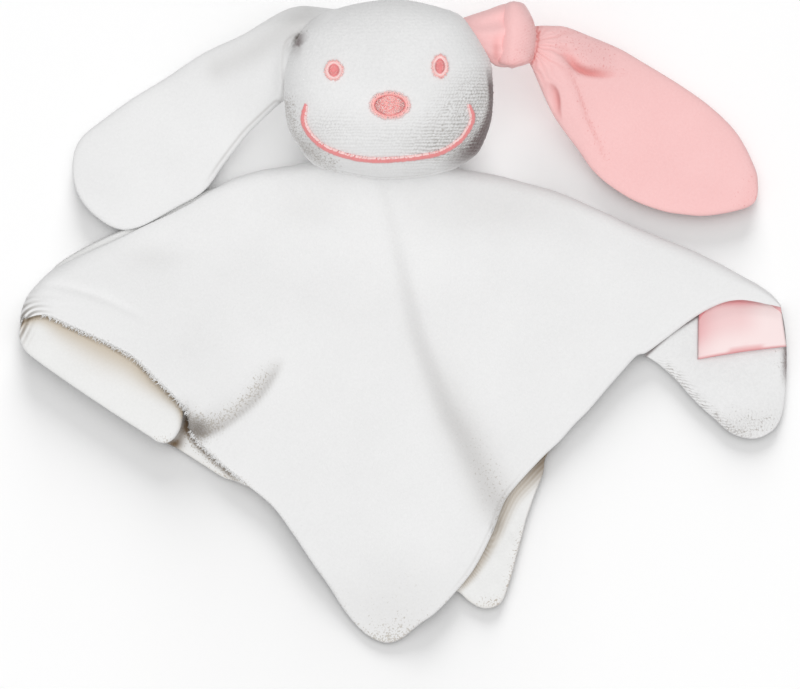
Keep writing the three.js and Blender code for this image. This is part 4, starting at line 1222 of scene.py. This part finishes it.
def sew(name, starts, ends, thickness, rise, material, replaced=None):
    """Threads from each start pixel to its end pixel, lying side by side on the face."""
    first, normal = on_face(starts[:, 0], starts[:, 1], rise / 3)
    last, _ = on_face(ends[:, 0], ends[:, 1], rise / 3)
    matrices = []
    for a, b, up in zip(first, last, normal):
        size = (float(np.linalg.norm(b - a)) * 1.05, thickness * MM, rise * MM)
        matrices.append(facing((a + b) / 2, b - a, up, size))
    piece = add_piece(name, scatter(thread_shape(), matrices), material, "head")
    if replaced:
        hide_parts(replaced)


def mouth():
    """A satin line of threads across it, with a pale edge of shorter ones above."""
    line = smooth_path(MOUTH, 300)
    way = directions(line)
    side = np.stack([way[:, 1], -way[:, 0]], axis=-1)
    ends = np.minimum(np.arange(len(line)), np.arange(len(line))[::-1]) / 10
    half = (2.5 * np.clip(0.6 + 0.4 * ends, 0, 1))[:, None]
    lean = way * 1.2
    upper = half * rng.uniform(0.8, 1.15, half.shape)
    lower = half * rng.uniform(0.85, 1.15, half.shape)
    sew(
        "mouth_satin_line", line + side * upper + lean, line - side * lower - lean, 0.55, 1.3, rose_thread,
        "mouth_stitch",
    )
    inner = rng.uniform(0.35, 0.8, half.shape)
    outer = rng.uniform(0.9, 1.35, half.shape)
    some = rng.uniform(0, 1, len(line)) < 0.85
    sew(
        "mouth_pale_edge", (line + side * half * outer + lean)[some], (line + side * half * inner)[some],
        0.5, 1.5, pale_thread,
    )


def oval(middle, half, angle, out=1.0):
    """The places at an angle on an oval, or at a share of the way out to it."""
    around = np.stack([np.cos(angle) * out * half[0], np.sin(angle) * out * half[1]], axis=-1)
    return np.array(middle) + around


def ring_stitches(name, middle, outer, inner, count, material, replaced, ragged=0.1, rise=1.0):
    """Threads that run in towards the middle, their outer ends uneven by a share."""
    angle = np.linspace(0, math.tau, count, endpoint=False)
    reach = 1 + ragged * rng.uniform(-1, 1, count)
    sew(name, oval(middle, outer, angle, reach), oval(middle, inner, angle), 0.5, rise, material, replaced)


def outline_stitches(name, middle, half, count, kept, material, rise):
    """Short threads one after another along an oval, of which a share is kept."""
    angle = np.linspace(0, math.tau, count, endpoint=False)[rng.uniform(0, 1, count) < kept]
    step = math.tau / count * 0.8
    sew(name, oval(middle, half, angle), oval(middle, half, angle + step), 0.55, rise, material)


def speckle_stitches(name, middle, half, count, material, rise):
    """Short threads lying at random inside an oval."""
    angle, out = rng.uniform(0, math.tau, count), np.sqrt(rng.uniform(0, 0.95, count))
    starts = oval(middle, half, angle, out)
    sew(name, starts, starts + rng.uniform(-1, 1, (count, 2)) * (1.6, 0.9), 0.5, rise, material)


def fill_stitches(name, middle, half, count, material, replaced):
    """Level threads that fill an oval, each as long as the oval is wide there."""
    level = np.linspace(-0.93, 0.93, count)
    width = np.sqrt(1 - level**2) * half[0]
    starts = middle + np.stack([-width, level * half[1]], axis=-1)
    ends = middle + np.stack([width, level * half[1]], axis=-1)
    sew(name, starts, ends, 0.6, 1.1, material, replaced)


mouth()
ring_stitches("left_eye_satin_ring", LEFT_EYE, (9.6, 10.4), (5.2, 5.8), 52, pale_thread, "left_eye_ring")
ring_stitches("left_eye_fringe", LEFT_EYE, (9.4, 10.2), (7.6, 8.2), 34, middle_thread, None, 0.12, 1.4)
fill_stitches("left_eye_filling", LEFT_EYE, (5.9, 6.5), 12, rose_thread, "left_eye_centre")
ring_stitches("right_eye_satin_ring", RIGHT_EYE, (8.8, 11.8), (4.6, 7.0), 56, pale_thread, "right_eye_ring")
ring_stitches("right_eye_fringe", RIGHT_EYE, (8.6, 11.6), (6.8, 9.4), 38, middle_thread, None, 0.12, 1.4)
fill_stitches("right_eye_filling", RIGHT_EYE, (5.2, 7.6), 13, rose_thread, "right_eye_centre")
outline_stitches("left_eye_pale_arc", LEFT_EYE, (3.3, 3.6), 18, 0.55, middle_thread, 1.7)
outline_stitches("right_eye_pale_arc", RIGHT_EYE, (2.8, 4.6), 20, 0.55, middle_thread, 1.7)
ring_stitches("nose_satin_ring", NOSE, (19.6, 13.4), (14.6, 9.2), 110, middle_thread, "nose_ring")
ring_stitches("nose_fringe", NOSE, (20.6, 14.4), (18.2, 12.2), 90, pale_thread, None, 0.06, 1.4)
outline_stitches("nose_outline", NOSE, (15.4, 9.8), 64, 1.0, rose_thread, 1.5)
outline_stitches("nose_pale_line", NOSE, (17.4, 11.6), 64, 0.55, pale_thread, 1.6)
fill_stitches("nose_filling", NOSE, (15.0, 9.6), 17, middle_thread, "nose_centre")
speckle_stitches("nose_rose_specks", NOSE, (14.4, 8.8), 95, rose_thread, 1.35)
speckle_stitches("nose_pale_specks", NOSE, (14.0, 8.4), 200, pale_thread, 1.75)


# Ears. Each leaves its root at the head and comes down to lie on the table. A strip beside the white
# ear's lower edge is pressed in, its root swells against the head, and it drapes over the shoulder.

EAR_REST = EAR_HALF + 0.3
EAR_UNDERSIDE = 0.2
ROOT_MM = 8
WHITE_ROOT = (292, 45)
WHITE_STRIP = WHITE_EAR_LOWER[4:10]
STRIP_PX = 5
STRIP_RAMP = (200, 222)
SHOULDER = ((358, 3), (350, 13), (339, 23), (328, 31), (318, 37), (308, 44), (299, 60))
SWELLING_RAMP = (20, 55)
SWELLING_TOP_RAMP = (16, 40)
DRAPE_RAMP = (28, 50)
EAR_TOP_SPOT = (302, 24, 14, 14)
TUFT_COLUMN = 290
TUFT_RAMP = (30, 42)


def ear_level(across, down, root, start):
    """Height of an ear's middle, from the start's height at its root to its rest on the table."""
    beyond = np.hypot(across - root[0], down - root[1]) * PIXEL / MM - ROOT_MM
    run = (beyond + np.sqrt(beyond**2 + 40)) / 2
    return EAR_REST + (start - EAR_REST) * np.clip(1 - run / EAR_REACH, 0, 1) ** 1.5


def ear_half(share, side, power):
    """Half of an ear's thickness, which thins out at its sides and at its tip."""
    return EAR_HALF * swell(side, power) * swell(np.clip((share - 0.84) / 0.16, 0, 1), 2.4)


def white_ear_faces(across, down, share, side):
    level = ear_level(across, down, WHITE_ROOT, WHITE_ROOT_LEVEL)
    full = ear_half(share, side, 3.0)
    soft = swell(side, 3.0)
    outside = beside(across, down, HEAD_SHOULDER)[0]
    beside_head = bump(np.minimum(outside, 0), 24 - 15 * smoothstep(down, *SWELLING_RAMP))
    top = level + full + soft * beside_head * (4 + 7 * (1 - smoothstep(down, *SWELLING_TOP_RAMP)))
    fold, along = beside(across, down, EAR_FOLD)
    top -= 1.6 * window(along, (0.0, 0.2, 0.75, 1.0)) * soft * smoothstep(-fold, -3, 3.5)
    top -= soft * 1.2 * ear_hollow(across, down)
    top += soft * (0.5 * ripple(across, down, 90, 41) - 0.9 * bump(beside(across, down, EAR_VALLEY)[0], 16))
    strip = np.abs(beside(across, down, WHITE_STRIP)[0])
    top -= 0.2 * soft * bump(strip - STRIP_PX, 1.6) * smoothstep(across, *STRIP_RAMP)
    over_head = on_face(across, down)[0][:, 2] / MM
    seam = beside(across, down, SHOULDER)[0]
    cover = over_head - 0.5 + 1.1 * smoothstep(seam, -3, 22) - 4 * smoothstep(down, *DRAPE_RAMP)
    drape = (over_head > HEAD_LEVEL + 0.5) & (np.abs(side) < 0.999) & (down < DRAPE_RAMP[1])
    top = np.where(drape, np.maximum(top, cover), top)
    return np.maximum(top, level - full), np.maximum(level - full, EAR_UNDERSIDE)


def shade_white_ear(piece):
    across, down = picture_of(piece)
    # Painted shade along the pressed strip, the valley, the fold and near the root's top, and in the hollow
    # under the root, broken by light tufts
    strip = np.abs(beside(across, down, WHITE_STRIP)[0])
    lines = 0.3 * bump(strip - STRIP_PX, 1.3) * smoothstep(across, *STRIP_RAMP)
    lines += 0.16 * bump(beside(across, down, EAR_VALLEY)[0], 13)
    lines += 0.15 * bump(beside(across, down, EAR_FOLD)[0], 1.6)
    give_shade(piece, lines + 0.1 * spot(across, down, EAR_TOP_SPOT))
    tuft = rng.uniform(0.3, 1, len(across)) * smoothstep(down - 0.8 * (across - TUFT_COLUMN), *TUFT_RAMP)
    give_shade(piece, ear_hollow(across, down) * (1 - 0.8 * tuft), "painted_deep_shade")


white_ear = pillow(
    "white_ear_soft", WHITE_EAR_UPPER, WHITE_EAR_LOWER, 260, 110, white_ear_faces, white_velour
)
shade_white_ear(white_ear)
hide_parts("white_ear_root", "white_ear_front_panel", "white_ear_back_panel")
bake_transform(white_ear)


# Pink ear's root, gathered between the head and the knot

ROOT_HIGH = 35
ROOT_FALL = 7
ROOT_CREASE_SPOT = (496, 52, 3.5, 3.5 / 0.3)


def pink_root_faces(across, down, share, side):
    level = ROOT_HIGH - ROOT_FALL * share
    folds = 0.9 * np.cos(side * 9 + 1.5) * smoothstep(share, 0.1, 0.8)
    full = (5.5 + 3.0 * share) * swell(side, 2.2)
    return level + full + folds * swell(side, 2), level - full


pink_root = pillow(
    "pink_ear_root_soft", PINK_ROOT_UPPER, PINK_ROOT_LOWER, 40, 50, pink_root_faces, pink_velour
)
# Painted shade in the crease beside the knot
give_shade(pink_root, 0.5 * spot(*picture_of(pink_root), ROOT_CREASE_SPOT))
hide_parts("pink_ear_root")
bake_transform(pink_root)


# Knot. Its turns show as soft waves, and fine slanting lines cover its right side.

KNOT_LEVEL = 28
KNOT_HALF = 12.0
KNOT_WAVE_COLUMN = 513
KNOT_LINES_ROW = 40
KNOT_LINES_RAMP = (508, 526)
KNOT_LOOPS_RAMP = (508, 530)
KNOT_LEFT_COLUMN = 497
KNOT_FOOT_RAMP = (56, 68)


def knot_lines(across, down):
    """The wave of the fine lines, and a slanting distance along which they grow clear."""
    return np.cos((down + 0.45 * across) * math.tau / ROW_PX), across + 0.5 * (down - KNOT_LINES_ROW)


def knot_faces(across, down, share, side):
    full = KNOT_HALF * swell(side, 2.3) * swell(2 * share - 1, 2.6)
    soft = swell(side, 2) * swell(2 * share - 1, 2)
    relief = 0.45 * np.cos((across - KNOT_WAVE_COLUMN) * 0.2) + 0.3 * ripple(across, down, 26, 61)
    lines, slant = knot_lines(across, down)
    relief += 0.08 * lines * smoothstep(slant, *KNOT_LINES_RAMP)
    return KNOT_LEVEL + full + relief * soft, KNOT_LEVEL - full


def shade_knot(piece):
    across, down = picture_of(piece)
    lines, slant = knot_lines(across, down)
    # Painted shade in the crease by the blade, towards the knot's foot and along its left side; the fine
    # lines are its rows
    shade = 0.16 * np.clip(-lines, 0, 1) * smoothstep(slant, *KNOT_LINES_RAMP)
    shade += 0.6 * bump(beside(across, down, KNOT_CREASE)[0], 2.6) + 0.3 * smoothstep(down, *KNOT_FOOT_RAMP)
    give_shade(piece, shade + 0.3 * bump(across - KNOT_LEFT_COLUMN, 2.5))
    give_shade(piece, 0.32 * smoothstep(slant, *KNOT_LOOPS_RAMP), "speck")


knot = pillow("pink_ear_knot_soft", KNOT_LEFT, KNOT_RIGHT, 80, 70, knot_faces, pink_velour, "pink_ear")
shade_knot(knot)
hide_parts("pink_ear_knot")


# Pink ear's blade: a lobe with a rim beside the knot, the pocket's arc under it, a roll and a seam

BLADE_ROOT = (534, 46)
KNOT_END = (528, 44)
BLADE_TIP_ROW = 190
BLADE_TIP_RAMP = (735, 757)
BLADE_TIP_LOOPS_RAMP = (722, 757)
LOBE_WINDOW = (540, 556, 600, 640)


def knot_folds(across, down):
    """Fine folds that run out from the knot over the pink ear, from -1 between them to 1 on them."""
    x, y = across - KNOT_END[0], down - KNOT_END[1]
    out = np.hypot(x, y)
    turn = np.arctan2(y, x) + 0.05 * ripple(across, down, 26, 52)
    fade = bump(out - 12, 34) * smoothstep(out, 7, 12)
    fine = np.cos(turn * 34 + 1.5 * ripple(across, down, 18, 53))
    return fade * (0.6 * fine + 0.4 * np.cos(turn * 13 + 0.7))


def blade_faces(across, down, share, side):
    level = ear_level(across, down, BLADE_ROOT, PINK_ROOT_LEVEL)
    full = ear_half(share, side, 2.8)
    soft = swell(side, 3)
    rim, along = beside(across, down, POCKET_RIM)
    lobe = bump(np.minimum(rim + 12, 0), 20) * (1 - smoothstep(rim, -12, -1))
    lip = window(rim, (-1, 2.5, 2.5, 30))
    top = level + full + soft * arch(along) ** 1.3 * (2.4 * lobe + 0.8 * lip - 1.2 * bump(rim + 2, 3.5))
    arc, along = beside(across, down, POCKET_ARC)
    top -= soft * arch(along) ** 1.6 * 1.8 * window(arc, (-1.5, 3.5, 4, 16))
    roll, along = beside(across, down, BLADE_ROLL)
    top += soft * 1.3 * bump(roll, 10) * window(along, (0.0, 0.15, 0.5, 1.0))
    seam, along = beside(across, down, BLADE_SEAM)
    top -= soft * 0.2 * bump(seam, 2.6) * arch(along) ** 0.5
    top += soft * (0.3 * knot_folds(across, down) + 0.3 * ripple(across, down, 80, 51))
    return np.maximum(top, level - full), np.maximum(level - full, EAR_UNDERSIDE)


def shade_blade(piece):
    across, down = picture_of(piece)
    rim, along = beside(across, down, POCKET_RIM)
    # Painted shade under the lobe's rim, in the pocket's arc, in the crease by the knot and between the fine
    # folds; the seam's marks and the tip are darker too
    rim_dark = window(rim, (-13, -3, -0.8, 1.2)) * arch(0.97 * along) ** 1.2
    arc, along = beside(across, down, POCKET_ARC)
    arc_dark = window(arc, (-1, 1.2, 1, 11)) * arch(along) ** 1.2
    seam, along = beside(across, down, BLADE_SEAM)
    marks = bump(seam, 2.2) * rng.uniform(0, 1, len(seam)) * arch(along) ** 0.4
    crease = bump(beside(across, down, KNOT_CREASE)[0] + 1 + 1.3 * ripple(across, down, 6, 54), 1.5)
    slant = across + 0.4 * (down - BLADE_TIP_ROW)
    shade = 0.78 * rim_dark + 0.5 * arc_dark + 0.5 * marks + 0.8 * crease
    shade += 0.3 * np.clip(-knot_folds(across, down), 0, 1) + 0.12 * smoothstep(slant, *BLADE_TIP_RAMP)
    give_shade(piece, shade)
    give_shade(piece, 0.12 * rim_dark**2 + 0.3 * arc_dark * bump(arc - 1, 3), "painted_deep_shade")
    loops = 0.3 * window(across, LOBE_WINDOW) * (1 - smoothstep(rim, -4, 0))
    loops += 0.25 * smoothstep(slant, *BLADE_TIP_LOOPS_RAMP) + 0.22 * bump(seam, 9)
    give_shade(piece, loops, "speck")


blade = pillow("pink_ear_blade_soft", BLADE_UPPER, BLADE_LOWER, 260, 110, blade_faces, pink_velour)
shade_blade(blade)
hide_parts("pink_ear_front_panel", "pink_ear_back_panel")
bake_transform(blade)


# The pieces that throw the low lamp's long shadows

for low_piece in (cloth_upper, cloth_lower, tongue, flap, white_ear, blade, face, nape):
    SHADED_BY.objects.link(low_piece)
